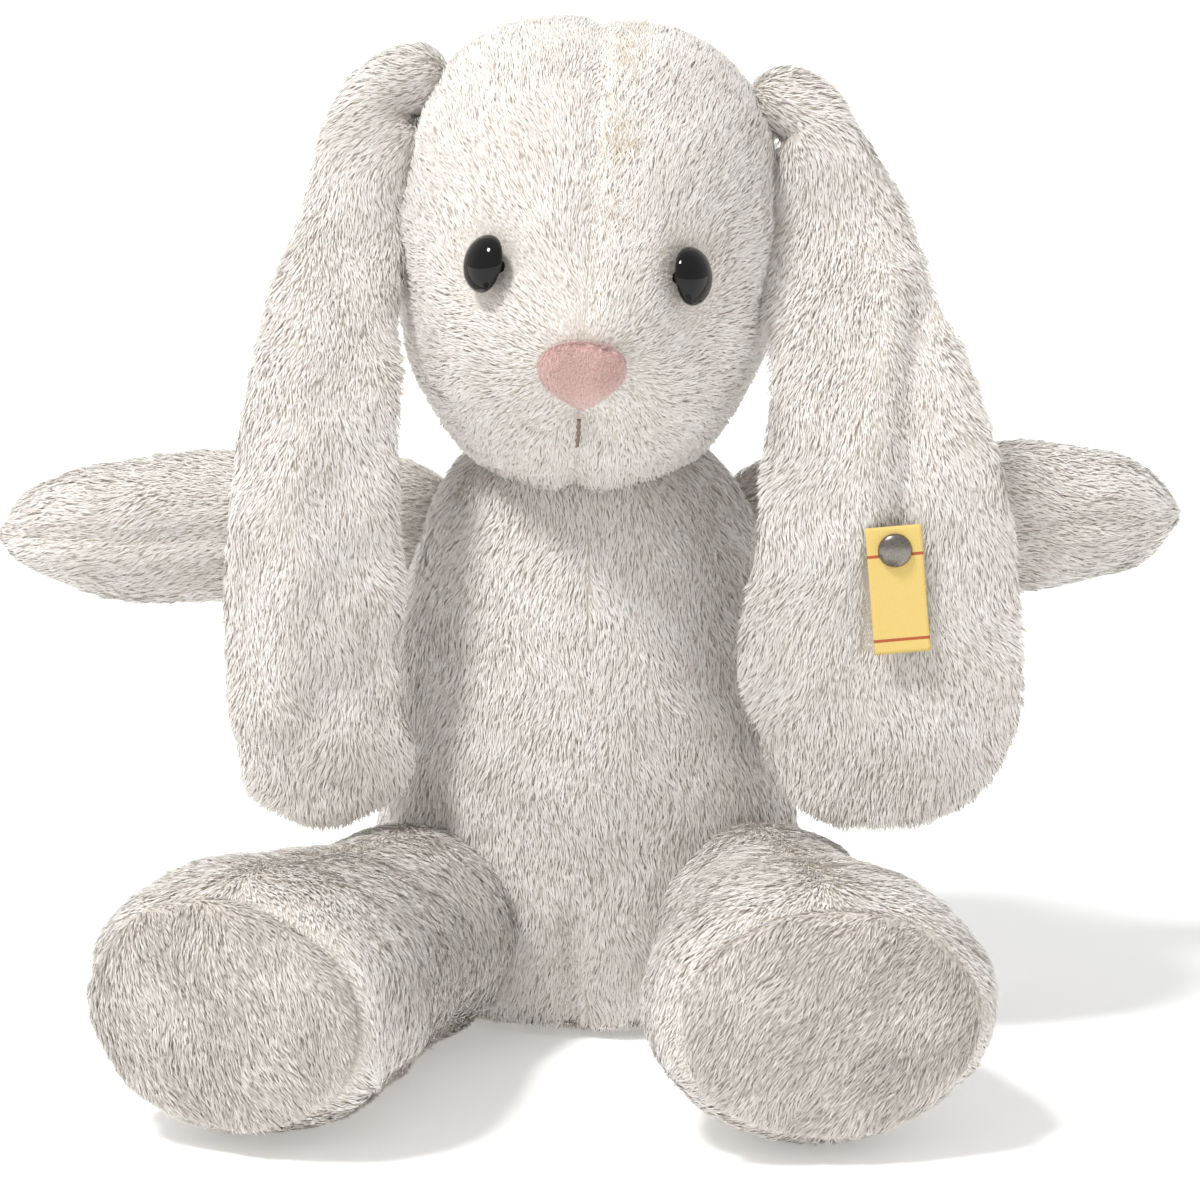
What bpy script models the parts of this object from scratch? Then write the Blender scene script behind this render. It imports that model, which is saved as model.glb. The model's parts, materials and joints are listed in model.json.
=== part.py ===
"""A sitting plush rabbit with hanging ears, made of sewn covers over loose filling.

Frame: metres, +Z up, the face towards -Y and +X to the rabbit's own left.
The origin is the middle of the flat underside of the torso, on the floor.
"""

import math

import bmesh
import bpy
from mathutils import Matrix, Vector

X = Vector((1.0, 0.0, 0.0))
Y = Vector((0.0, 1.0, 0.0))
Z = Vector((0.0, 0.0, 1.0))

# Fits shared by every piece
COVER = 0.003  # plush fabric with its pile
SEAM_GAP = 0.0003  # between panels sewn edge to edge
FILL_GAP = 0.0004  # cover to the filling behind it
JOINT_GAP = 0.0012  # a limb's round root to its socket
HOLE_GAP = 0.0003  # a pin to the hole around it

# Torso: an upright egg with a flat underside and a round neck end
TORSO_HEIGHT = 0.140
TORSO_HALF_WIDTH = 0.0585
TORSO_HALF_DEPTH = 0.053
TORSO_PROFILE = (  # share of the height, share of the half width
    (0.0, 0.68), (0.02, 0.78), (0.07, 0.87), (0.215, 0.985), (0.43, 1.0),
    (0.64, 0.942), (0.857, 0.843), (1.0, 0.725),
)
TORSO_SEGMENTS = 20
SIDE_SEAM_Y = 0.018  # the side seams run behind the middle, through the arms
NECK_RADIUS = 0.040
NECK_SINK = 0.014  # the neck dome's centre lies this far below the shoulders
NECK_ANGLES = (35.0, 50.0, 65.0, 80.0)

# Head: a wide egg with a blunt muzzle, tilted a little to the rabbit's left
HEAD_HALF_WIDTH = 0.052
HEAD_HALF_DEPTH = 0.056
HEAD_HALF_HEIGHT = 0.0655
CROWN_FULLNESS = 2.8  # 2 is an ellipse seen from the front; more is squarer
JAW_FULLNESS = 2.04
HEAD_RISE = 0.0780  # neck centre to head centre
HEAD_FORWARD = 0.010
HEAD_TILT = 3.5
MUZZLE_REACH = 0.016
MUZZLE_LOW = 0.42  # height of its middle, as a direction below the head's centre
MUZZLE_SPREAD = 0.5
HEAD_SEGMENTS = 24

# Eyes: domed buttons with a stem and an inner washer
EYE_RADIUS = 0.0075
EYE_HEIGHT = 0.0050
EYE_SIDE = 0.505  # direction of an eye from the head's centre
EYE_UP = 0.06
STEM_RADIUS = 0.0016
STEM_TIP = 0.0012  # the stem ends this far behind its washer
WASHER_RADIUS = 0.0058
WASHER_THICKNESS = 0.0011
WASHER_BEHIND = 0.0019  # room for the cover's curve in front of a washer

# Nose pad and the stitch below it
NOSE_HALF_WIDTH = 0.0136
NOSE_HALF_HEIGHT = 0.0088
NOSE_PROUD = 0.0042
NOSE_TAPER = 0.42  # how much narrower it is at the bottom than at the top
NOSE_DIRECTION = -0.32
MOUTH_FROM = -0.53
MOUTH_TO = -0.66
THREAD_RADIUS = 0.0006

# Ears: two flat panels each, hanging from a round root on the head's side
EAR_ROOT_RADIUS = 0.011
EAR_ROOT_SIDE = 0.80  # direction of the root from the head's centre
EAR_ROOT_UP = 0.60
EAR_ROOT_PROUD = 0.0020
EAR_HANG = 0.0275  # outwards from the root to the hanging stretch
EAR_BEFORE_TORSO = 0.003  # the hanging stretch stands this far inside the belly's front
EAR_ABOVE_LEG = 0.003  # the tips clear the thighs as the head turns
EAR_HALF_WIDTH = 0.039
EAR_HALF_THICKNESS = 0.007
EAR_ROLL_WIDTH = 0.655  # the right ear is rolled lengthwise: narrower and thicker
EAR_ROLL_THICKNESS = 1.35
EAR_STRAIGHT = 0.52  # share of the ear's height that hangs straight down
EAR_SEGMENTS = 14

# Rivet and tag in the left ear
RIVET_SHARE = 0.60  # share of the ear's height from the root down to the rivet
RIVET_SIDE = 0.0015
RIVET_RADIUS = 0.0044
RIVET_HEIGHT = 0.0018
RIVET_SHANK = 0.0015
RIVET_WASHER_RADIUS = 0.0040
RIVET_WASHER_THICKNESS = 0.0008
TAG_WIDTH = 0.0145
TAG_LENGTH = 0.033
TAG_THICKNESS = 0.0008
TAG_ABOVE_RIVET = 0.0062
TAG_LEAN = 5.0

# Arms: blunt mitts held straight out at the sides
ARM_ROOT_RADIUS = 0.019
ARM_ROOT_SIDE = 0.875  # share of the torso's half width
ARM_ROOT_HEIGHT = 0.918  # share of the torso's height
ARM_LENGTH = 0.110
ARM_HALF_HEIGHT = 0.0225
ARM_HALF_DEPTH = 0.0178
ARM_LIFT = {"left": 2.0, "right": -1.0}
ARM_SEGMENTS = 16

# Legs: thick stubs that point forwards, splayed, with an oval sole each
LEG_ROOT_RADIUS = 0.0295
LEG_ROOT_SIDE = 0.80  # share of the torso's half width
LEG_ROOT_FRONT = 0.83  # share of the torso's half depth
LEG_ROOT_LIFT = 0.0015
LEG_LENGTH = 0.101  # hip centre to the sole's seam
SOLE_BULGE = 0.011
SOLE_SHARE = 0.88  # the sole's seam lies inside the foot's widest ring
FOOT_HALF_WIDTH = 0.0445
FOOT_HALF_HEIGHT = 0.0355
LEG_SPLAY = {"left": 7.0, "right": 24.0}
LEG_SEGMENTS = 16
ROOT_OPENING = 0.4  # a limb's cover is open this share of its root radius behind the pivot

# Tail, label and closing stitch at the back
TAIL_RADIUS = 0.0155
TAIL_HEIGHT = 0.028
TAIL_PROUD = 0.0065
LABEL_WIDTH = 0.012
LABEL_LENGTH = 0.025
LABEL_THICKNESS = 0.0006
LABEL_ROUND = 60.0  # degrees from the rabbit's left side towards its back
LABEL_HEIGHT = 0.034
LABEL_STAND_OFF = 0.0008
CLOSING_FROM = 0.43  # shares of the torso's height
CLOSING_TO = 0.857
THREAD_CLEAR = 0.0005

SIDES = {"left": 1.0, "right": -1.0}
SMOOTH_ANGLE = math.radians(40.0)
FINISHES = {  # colour, roughness, metallic
    "plush_fur": ((0.70, 0.65, 0.59), 0.95, 0.0),
    "nose_velour": ((0.58, 0.36, 0.34), 0.9, 0.0),
    "eye_gloss": ((0.012, 0.010, 0.009), 0.08, 0.0),
    "white_plastic": ((0.75, 0.74, 0.71), 0.5, 0.0),
    "steel": ((0.56, 0.55, 0.53), 0.3, 1.0),
    "woven_tag": ((0.80, 0.58, 0.16), 0.7, 0.0),
    "label_cloth": ((0.85, 0.85, 0.83), 0.7, 0.0),
    "thread": ((0.42, 0.33, 0.28), 0.8, 0.0),
    "filling": ((0.86, 0.86, 0.84), 1.0, 0.0),
}


# ---------------------------------------------------------------- scene helpers


def clear_scene():
    """Remove every object, so that the file can be run again."""
    for item in list(bpy.data.objects):
        bpy.data.objects.remove(item, do_unlink=True)


def finish(name):
    """Material of the given name, made on its first use."""
    material = bpy.data.materials.get(name)
    if material is None:
        colour, roughness, metallic = FINISHES[name]
        material = bpy.data.materials.new(name)
        material.use_nodes = True
        shader = material.node_tree.nodes["Principled BSDF"]
        shader.inputs["Base Color"].default_value = (*colour, 1.0)
        shader.inputs["Roughness"].default_value = roughness
        shader.inputs["Metallic"].default_value = metallic
    return material


def attach(item, parent):
    """Parent an item, keeping its place in the world."""
    if parent is not None:
        bpy.context.view_layer.update()
        item.parent = parent
        item.matrix_parent_inverse = parent.matrix_world.inverted()


def joint_empty(name, pivot, parent=None):
    """Empty on a joint's axis, which carries the pieces that move about it."""
    empty = bpy.data.objects.new(name, None)
    empty.empty_display_size = 0.01
    empty.location = pivot
    bpy.context.collection.objects.link(empty)
    attach(empty, parent)
    return empty


def mesh_object(name, bm, origin):
    """Object with the bmesh's shape, which is in world places, and the given origin."""
    bm.transform(Matrix.Translation(-origin))
    mesh = bpy.data.meshes.new(name)
    bm.to_mesh(mesh)
    bm.free()
    item = bpy.data.objects.new(name, mesh)
    item.location = origin
    bpy.context.collection.objects.link(item)
    return item


def cutter(name, bm):
    """Hidden tool solid for the Boolean cuts."""
    item = mesh_object(name, bm, Vector())
    item.hide_render = True
    item.display_type = "WIRE"
    return item


def node(name, bm, material, joint=None, cutters=()):
    """One sub-part, cut by its neighbours' sockets and holes."""
    origin = joint.matrix_world.translation.copy() if joint else Vector()
    item = mesh_object(name, bm, origin)
    attach(item, joint)
    item.data.materials.append(finish(material))
    item.data.shade_smooth()
    item.data.set_sharp_from_angle(angle=SMOOTH_ANGLE)
    for tool in cutters:
        cut = item.modifiers.new(tool.name, "BOOLEAN")
        cut.operation = "DIFFERENCE"
        cut.object = tool
    return item


# ---------------------------------------------------------------- shape helpers


def station_frame(centre, across, up, half_across, half_up):
    """Matrix that takes a unit circle to an ellipse with those half axes."""
    frame = Matrix((across * half_across, up * half_up, across.cross(up))).transposed().to_4x4()
    frame.translation = centre
    return frame


def loft(stations, segments):
    """Closed skin through stations of (centre, across, up, half across, half up)."""
    bm = bmesh.new()
    frames = [station_frame(*station) for station in stations]
    bmesh.ops.create_circle(bm, cap_ends=True, segments=segments, radius=1.0, matrix=frames[0])
    edges = bm.edges[:]
    for before, after in zip(frames, frames[1:]):
        grown = bmesh.ops.extrude_edge_only(bm, edges=edges)["geom"]
        verts = [item for item in grown if isinstance(item, bmesh.types.BMVert)]
        bmesh.ops.transform(bm, matrix=after @ before.inverted(), verts=verts)
        edges = [
            item for item in grown
            if isinstance(item, bmesh.types.BMEdge) and all(vert in verts for vert in item.verts)
        ]
    bmesh.ops.edgeloop_fill(bm, edges=edges)
    bmesh.ops.recalc_face_normals(bm, faces=bm.faces)
    return bm


def tube(points, radius, segments=8):
    """Round cord through points that lie in the plane of X = const."""
    ends = [points[1] - points[0]]
    ends += [after - before for before, after in zip(points, points[2:])]
    ends.append(points[-1] - points[-2])
    stations = []
    for point, run in zip(points, ends):
        stations.append((point, X, run.normalized().cross(X), radius, radius))
    return loft(stations, segments)


def turned(profile, frame, segments, closed=False):
    """Round piece: a profile of (radius, height) turned about the frame's Z axis."""
    bm = bmesh.new()
    points = [bm.verts.new((radius, 0.0, height)) for radius, height in profile]
    pairs = list(zip(points, points[1:]))
    if closed:
        pairs.append((points[-1], points[0]))
    edges = [bm.edges.new(pair) for pair in pairs]
    bmesh.ops.spin(bm, geom=points + edges, axis=Z, angle=math.tau, steps=segments, use_merge=True)
    bmesh.ops.remove_doubles(bm, verts=bm.verts, dist=1e-6)
    bmesh.ops.recalc_face_normals(bm, faces=bm.faces)
    bm.transform(frame)
    return bm


def ball(centre, radius, segments=20):
    """Round solid for a socket."""
    bm = bmesh.new()
    bmesh.ops.create_uvsphere(bm, u_segments=segments, v_segments=segments // 2, radius=radius)
    bm.transform(Matrix.Translation(centre))
    return bm


def moved_skin(skin, distance):
    """Copy of a closed skin, moved along its normals; inwards is negative."""
    copy = skin.copy()
    copy.normal_update()
    steps = [vert.normal * distance * vert.calc_shell_factor() for vert in copy.verts]
    for vert, step in zip(copy.verts, steps):
        vert.co += step
    return copy


def trimmed(skin, cuts):
    """Copy of a skin without what lies beyond each cut, a point and a direction."""
    copy = skin.copy()
    for point, direction in cuts:
        parts = copy.verts[:] + copy.edges[:] + copy.faces[:]
        bmesh.ops.bisect_plane(
            copy, geom=parts, dist=1e-6, plane_co=point, plane_no=direction, clear_outer=True
        )
    return copy


def panel(skin, cuts):
    """Sewn panel: a piece of a closed skin with the cover's thickness behind it."""
    piece = trimmed(skin, cuts)
    lining = trimmed(moved_skin(skin, -COVER), cuts)
    bmesh.ops.reverse_faces(lining, faces=lining.faces)
    spare = bpy.data.meshes.new("lining")
    lining.to_mesh(spare)
    lining.free()
    piece.from_mesh(spare)
    bpy.data.meshes.remove(spare)
    rim = [edge for edge in piece.edges if edge.is_boundary]
    bmesh.ops.bridge_loops(piece, edges=rim)
    return piece


def filling_of(skin):
    """Loose filling that a cover encloses."""
    return moved_skin(skin, -(COVER + FILL_GAP))


def seam_cuts(point, direction):
    """The same seam as seen from its two panels, each set back by half the gap."""
    back = direction * (SEAM_GAP / 2.0)
    return (point - back, direction), (point + back, -direction)


def frame_at(origin, z_axis):
    """Matrix whose Z axis points along a direction and whose X axis stays level."""
    x_axis = Z.cross(z_axis).normalized()
    frame = Matrix((x_axis, z_axis.cross(x_axis), z_axis)).transposed().to_4x4()
    frame.translation = origin
    return frame


# ---------------------------------------------------------------- places shared by the parts

NECK = Z * (TORSO_HEIGHT - NECK_SINK)
HEAD_CENTRE = NECK + Z * HEAD_RISE - Y * HEAD_FORWARD
HEAD_POSE = Matrix.Translation(HEAD_CENTRE) @ Matrix.Rotation(math.radians(HEAD_TILT), 4, "Y")


def torso_half(height, half_size):
    """Torso's half width or depth at a height, straight between its stations."""
    share = height / TORSO_HEIGHT
    for (low, narrow), (high, wide) in zip(TORSO_PROFILE, TORSO_PROFILE[1:]):
        if share <= high:
            return half_size * (narrow + (wide - narrow) * (share - low) / (high - low))
    return half_size * TORSO_PROFILE[-1][1]


def head_point(direction):
    """Point of the upright head's skin, from its centre, in a unit direction."""
    low = math.exp(-(((direction.z + MUZZLE_LOW) / MUZZLE_SPREAD) ** 2))
    muzzle = MUZZLE_REACH * max(0.0, -direction.y) ** 3 * low
    power = CROWN_FULLNESS if direction.z > 0.0 else JAW_FULLNESS
    flat = abs(direction.x) ** power + abs(direction.z) ** power
    full = (flat ** (2.0 / power) + direction.y ** 2) ** -0.5
    return Vector((
        full * HEAD_HALF_WIDTH * direction.x,
        full * HEAD_HALF_DEPTH * direction.y - muzzle,
        full * HEAD_HALF_HEIGHT * direction.z,
    ))


def head_direction(side, up):
    """Unit direction towards the face from its sideways and upward shares."""
    return Vector((side, -math.sqrt(max(0.0, 1.0 - side * side - up * up)), up))


def head_place(side, up):
    """World point and outward normal of the face, by its direction shares."""
    small = 0.01
    point = head_point(head_direction(side, up))
    sideways = head_point(head_direction(side + small, up)) - point
    upwards = head_point(head_direction(side, up + small)) - point
    normal = sideways.cross(upwards).normalized()
    return HEAD_POSE @ point, HEAD_POSE.to_3x3() @ normal


def ear_root(sign):
    """World place of an ear's round root, partly sunk in the head."""
    direction = Vector((sign * EAR_ROOT_SIDE, 0.0, EAR_ROOT_UP)).normalized()
    out = direction * EAR_ROOT_PROUD
    return HEAD_POSE @ (head_point(direction) + out)


def arm_root(sign):
    """World place of an arm's round root, on the side seam."""
    side = sign * ARM_ROOT_SIDE * TORSO_HALF_WIDTH
    return Vector((side, SIDE_SEAM_Y, ARM_ROOT_HEIGHT * TORSO_HEIGHT))


def leg_root(sign):
    """World place of a leg's round root, low at the front of the torso."""
    side = sign * LEG_ROOT_SIDE * TORSO_HALF_WIDTH
    return Vector((side, -LEG_ROOT_FRONT * TORSO_HALF_DEPTH, LEG_ROOT_RADIUS + LEG_ROOT_LIFT))


def tail_place():
    """World place of the tail's centre, partly sunk in the back."""
    return Vector((0.0, torso_half(TAIL_HEIGHT, TORSO_HALF_DEPTH) + TAIL_PROUD, TAIL_HEIGHT))


# ---------------------------------------------------------------- sub-assemblies


def make_sockets():
    """Round sockets and pin holes, by name, that the parts' neighbours cut."""
    tools = {
        "neck_socket": cutter("neck_socket", ball(NECK, NECK_RADIUS + JOINT_GAP)),
        "tail_socket": cutter("tail_socket", ball(tail_place(), TAIL_RADIUS + JOINT_GAP, 16)),
    }
    roots = {"ear": (ear_root, EAR_ROOT_RADIUS), "arm": (arm_root, ARM_ROOT_RADIUS)}
    roots["leg"] = (leg_root, LEG_ROOT_RADIUS)
    for side, sign in SIDES.items():
        for limb, (root, radius) in roots.items():
            name = f"{limb}_{side}_socket"
            tools[name] = cutter(name, ball(root(sign), radius + JOINT_GAP))
        frame = frame_at(*head_place(sign * EYE_SIDE, EYE_UP))
        deep = -(COVER + WASHER_BEHIND + WASHER_THICKNESS + STEM_TIP + FILL_GAP)
        stem = STEM_RADIUS + HOLE_GAP
        hole = turned(((0.0, EYE_HEIGHT), (stem, EYE_HEIGHT), (stem, deep), (0.0, deep)), frame, 12)
        tools[f"eye_{side}_hole"] = cutter(f"eye_{side}_hole", hole)
        wide = WASHER_RADIUS + FILL_GAP
        pocket = ((0.0, EYE_HEIGHT), (wide, EYE_HEIGHT), (wide, deep), (0.0, deep))
        tools[f"eye_{side}_pocket"] = cutter(f"eye_{side}_pocket", turned(pocket, frame, 16))
    return tools


def torso_skin():
    """Closed skin of the torso, from the flat underside to the neck dome."""
    stations = []
    for height, share in TORSO_PROFILE:
        centre = Z * height * TORSO_HEIGHT
        stations.append((centre, X, Y, share * TORSO_HALF_WIDTH, share * TORSO_HALF_DEPTH))
    for angle in map(math.radians, NECK_ANGLES):
        radius = NECK_RADIUS * math.cos(angle)
        stations.append((NECK + Z * NECK_RADIUS * math.sin(angle), X, Y, radius, radius))
    return loft(stations, TORSO_SEGMENTS)


def make_torso(tools):
    """Front and back covers, filling, tail, label and closing stitch."""
    skin = torso_skin()
    before, behind = seam_cuts(Y * SIDE_SEAM_Y, Y)
    arms = [tools["arm_left_socket"], tools["arm_right_socket"]]
    legs = [tools["leg_left_socket"], tools["leg_right_socket"]]
    tail = [tools["tail_socket"]]
    node("torso_front_cover", panel(skin, [before]), "plush_fur", cutters=arms + legs)
    node("torso_back_cover", panel(skin, [behind]), "plush_fur", cutters=arms + tail)
    node("torso_filling", filling_of(skin), "filling", cutters=arms + legs + tail)
    skin.free()

    puff = ball(tail_place(), TAIL_RADIUS, 16)
    opening = tail_place() - Y * (ROOT_OPENING * TAIL_RADIUS)
    node("tail_cover", panel(puff, [(opening, -Y)]), "plush_fur")
    node("tail_filling", filling_of(puff), "filling")
    puff.free()

    lift = THREAD_RADIUS + THREAD_CLEAR
    points = []
    for share, width in TORSO_PROFILE:
        if CLOSING_FROM <= share <= CLOSING_TO:
            points.append(Vector((0.0, width * TORSO_HALF_DEPTH + lift, share * TORSO_HEIGHT)))
    node("closing_stitch", tube(points, THREAD_RADIUS), "thread")
    node("care_label", label_shape(), "label_cloth")


def label_shape():
    """Small cloth label that lies against the back beside the tail."""
    widest = torso_half(LABEL_HEIGHT + LABEL_LENGTH, TORSO_HALF_WIDTH)
    deepest = torso_half(LABEL_HEIGHT + LABEL_LENGTH, TORSO_HALF_DEPTH)
    angle = math.radians(LABEL_ROUND)
    out = Vector((math.cos(angle) / widest, math.sin(angle) / deepest, 0.0)).normalized()
    point = Vector((widest * math.cos(angle), deepest * math.sin(angle), 0.0))
    centre = point + out * (LABEL_STAND_OFF + LABEL_THICKNESS / 2.0)
    centre.z = LABEL_HEIGHT + LABEL_LENGTH / 2.0
    bm = bmesh.new()
    size = Matrix.Diagonal((LABEL_WIDTH, LABEL_LENGTH, LABEL_THICKNESS, 1.0))
    bmesh.ops.create_cube(bm, size=1.0, matrix=frame_at(centre, out) @ size)
    return bm


def head_skin():
    """Closed skin of the head, tilted and in its place."""
    bm = bmesh.new()
    rows = HEAD_SEGMENTS // 2 + 2
    bmesh.ops.create_uvsphere(bm, u_segments=HEAD_SEGMENTS, v_segments=rows, radius=1.0)
    for vert in bm.verts:
        vert.co = head_point(vert.co.normalized())
    # Every offset copy of the skin keeps these diagonals, so the copies stay apart.
    bmesh.ops.triangulate(bm, faces=bm.faces, quad_method="SHORT_EDGE")
    bm.transform(HEAD_POSE)
    bm.normal_update()
    return bm


def nose_shape():
    """Padded triangle with round corners, wide at the top."""
    heights = (-NOSE_PROUD, 0.35 * NOSE_PROUD, 0.8 * NOSE_PROUD, NOSE_PROUD)
    shares = (1.0, 0.97, 0.78, 0.42)
    stations = []
    for height, share in zip(heights, shares):
        size = (share * NOSE_HALF_WIDTH, share * NOSE_HALF_HEIGHT)
        stations.append((Z * height, X, Y, *size))
    bm = loft(stations, 16)
    for vert in bm.verts:
        vert.co.x *= 1.0 + NOSE_TAPER * (vert.co.y / NOSE_HALF_HEIGHT - 1.0) / 2.0
    bm.transform(frame_at(*head_place(0.0, NOSE_DIRECTION)))
    return bm


def make_head(tools, joint):
    """Two side covers, filling, eyes with washers, nose pad and mouth stitch."""
    skin = head_skin()
    middle = HEAD_POSE.to_3x3() @ X
    cuts = dict(zip(("right", "left"), seam_cuts(HEAD_CENTRE, middle)))
    pockets = [tools["neck_socket"]]
    for side in SIDES:
        holes = [tools["neck_socket"], tools[f"ear_{side}_socket"], tools[f"eye_{side}_hole"]]
        node(f"head_{side}_cover", panel(skin, [cuts[side]]), "plush_fur", joint, holes)
        pockets += [tools[f"ear_{side}_socket"], tools[f"eye_{side}_pocket"]]
    node("head_filling", filling_of(skin), "filling", joint, pockets)
    face = cutter("nose_seat", moved_skin(skin, SEAM_GAP))
    node("nose_pad", nose_shape(), "nose_velour", joint, [face])
    skin.free()

    points = []
    for step in range(5):
        up = MOUTH_FROM + (MOUTH_TO - MOUTH_FROM) * step / 4.0
        point, normal = head_place(0.0, up)
        points.append(point + normal * (THREAD_RADIUS + THREAD_CLEAR))
    node("mouth_stitch", tube(points, THREAD_RADIUS), "thread", joint)
    for side, sign in SIDES.items():
        make_eye(side, sign, joint)


def make_eye(side, sign, joint):
    """Domed eye with its stem, and the washer that holds it from inside."""
    point, normal = head_place(sign * EYE_SIDE, EYE_UP)
    frame = frame_at(point, normal)
    washer_front = -(COVER + WASHER_BEHIND)
    washer_back = washer_front - WASHER_THICKNESS
    profile = [(0.0, washer_back - STEM_TIP), (STEM_RADIUS, washer_back - STEM_TIP)]
    profile += [(STEM_RADIUS, SEAM_GAP), (0.97 * EYE_RADIUS, SEAM_GAP)]
    for step in range(6):
        angle = math.radians(90.0) * step / 5.0
        height = SEAM_GAP + 0.0006 + EYE_HEIGHT * math.sin(angle)
        profile.append((EYE_RADIUS * math.cos(angle), height))
    node(f"eye_{side}", turned(profile, frame, 20), "eye_gloss", joint)
    bore = STEM_RADIUS + HOLE_GAP
    edge = ((bore, washer_front), (WASHER_RADIUS, washer_front))
    edge += ((WASHER_RADIUS, washer_back), (bore, washer_back))
    node(f"eye_washer_{side}", turned(edge, frame, 16, closed=True), "white_plastic", joint)


def ear_stations(side, sign):
    """Stations of an ear from its round root to its tip, and its straight run's Y."""
    root = ear_root(sign)
    tip_height = 2.0 * LEG_ROOT_RADIUS + EAR_ABOVE_LEG
    drop = root.z - tip_height
    wide, thick = EAR_HALF_WIDTH, EAR_HALF_THICKNESS
    if side == "right":
        wide, thick = wide * EAR_ROLL_WIDTH, thick * EAR_ROLL_THICKNESS
    front = -(TORSO_HALF_DEPTH - EAR_BEFORE_TORSO)
    reach = front - root.y
    stations = []
    for angle in (-80.0, -55.0, -30.0):
        along, radius = math.sin(math.radians(angle)), math.cos(math.radians(angle))
        size = EAR_ROOT_RADIUS * radius
        stations.append((root + X * sign * along * EAR_ROOT_RADIUS, Y * sign, -Z, size, size))
    run = (  # share of: reach outwards, reach forwards, drop, half width; turn of the width
        (0.0, 0.0, 0.0, 0.0, 0.0), (0.37, 0.05, 0.012, 0.02, 0.0), (0.62, 0.17, 0.07, 0.12, 40.0),
        (0.80, 0.40, 0.19, 0.30, 65.0), (0.92, 0.75, 0.37, 0.59, 85.0),
        (1.0, 1.0, EAR_STRAIGHT, 0.82, 90.0), (1.0, 1.0, 0.70, 0.97, 90.0),
        (1.0, 1.0, 0.82, 1.0, 90.0), (1.0, 1.0, 0.91, 0.90, 90.0),
        (1.0, 1.0, 0.97, 0.62, 90.0), (1.0, 1.0, 1.0, 0.25, 90.0),
    )
    places = [
        root + Vector((sign * EAR_HANG * out, reach * ahead, -drop * down))
        for out, ahead, down, _, _ in run
    ]
    for index, (_, _, down, share, turn) in enumerate(run):
        before, after = places[max(index - 1, 0)], places[min(index + 1, len(places) - 1)]
        along = (after - before).normalized() if index else X * sign
        width = EAR_ROOT_RADIUS + (wide - EAR_ROOT_RADIUS) * share
        depth = EAR_ROOT_RADIUS + (thick - EAR_ROOT_RADIUS) * min(1.0, down / 0.19)
        if down > 0.9:
            width, depth = wide * share, thick * (0.35 + 0.65 * share)
        facing = math.radians(turn)
        across = Y * sign * math.cos(facing) + X * math.sin(facing)
        across = (across - along * across.dot(along)).normalized()
        stations.append((places[index], across, across.cross(along), width, depth))
    return stations


def ear_half(stations, face):
    """One panel of an ear: the stations' half on one side of the middle sheet."""
    bm = loft(stations, EAR_SEGMENTS)
    bm.verts.ensure_lookup_table()
    for index, vert in enumerate(bm.verts):
        centre, _, up, _, _ = stations[index // EAR_SEGMENTS]
        depth = (vert.co - centre).dot(up) * face
        vert.co += up * face * (max(depth, SEAM_GAP / 2.0) - depth)
    # Both panels split the twisted middle sheet along the same, shorter diagonals.
    bmesh.ops.triangulate(bm, faces=bm.faces, quad_method="SHORT_EDGE")
    bmesh.ops.recalc_face_normals(bm, faces=bm.faces)
    return bm


def make_ear(side, sign, joint, tools):
    """Front and back panels of an ear."""
    stations = ear_stations(side, sign)
    front = 1.0 if stations[-1][2].y < 0.0 else -1.0
    holes = [tools["rivet_hole"]] if side == "left" else []
    for label, face in (("front", front), ("back", -front)):
        name = f"ear_{side}_{label}_panel"
        node(name, ear_half(stations, face), "plush_fur", joint, holes)


def rivet_frame():
    """Frame on the left ear's middle sheet, with Z out of its front."""
    root = ear_root(SIDES["left"])
    drop = root.z - (2.0 * LEG_ROOT_RADIUS + EAR_ABOVE_LEG)
    side = root.x + EAR_HANG + RIVET_SIDE
    front = -(TORSO_HALF_DEPTH - EAR_BEFORE_TORSO)
    return frame_at(Vector((side, front, root.z - RIVET_SHARE * drop)), -Y)


def rivet_hole():
    """Hole through both ear panels for the rivet's shank."""
    bore, far = RIVET_SHANK + HOLE_GAP, 2.0 * EAR_HALF_THICKNESS
    return turned(((0.0, far), (bore, far), (bore, -far), (0.0, -far)), rivet_frame(), 12)


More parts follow.
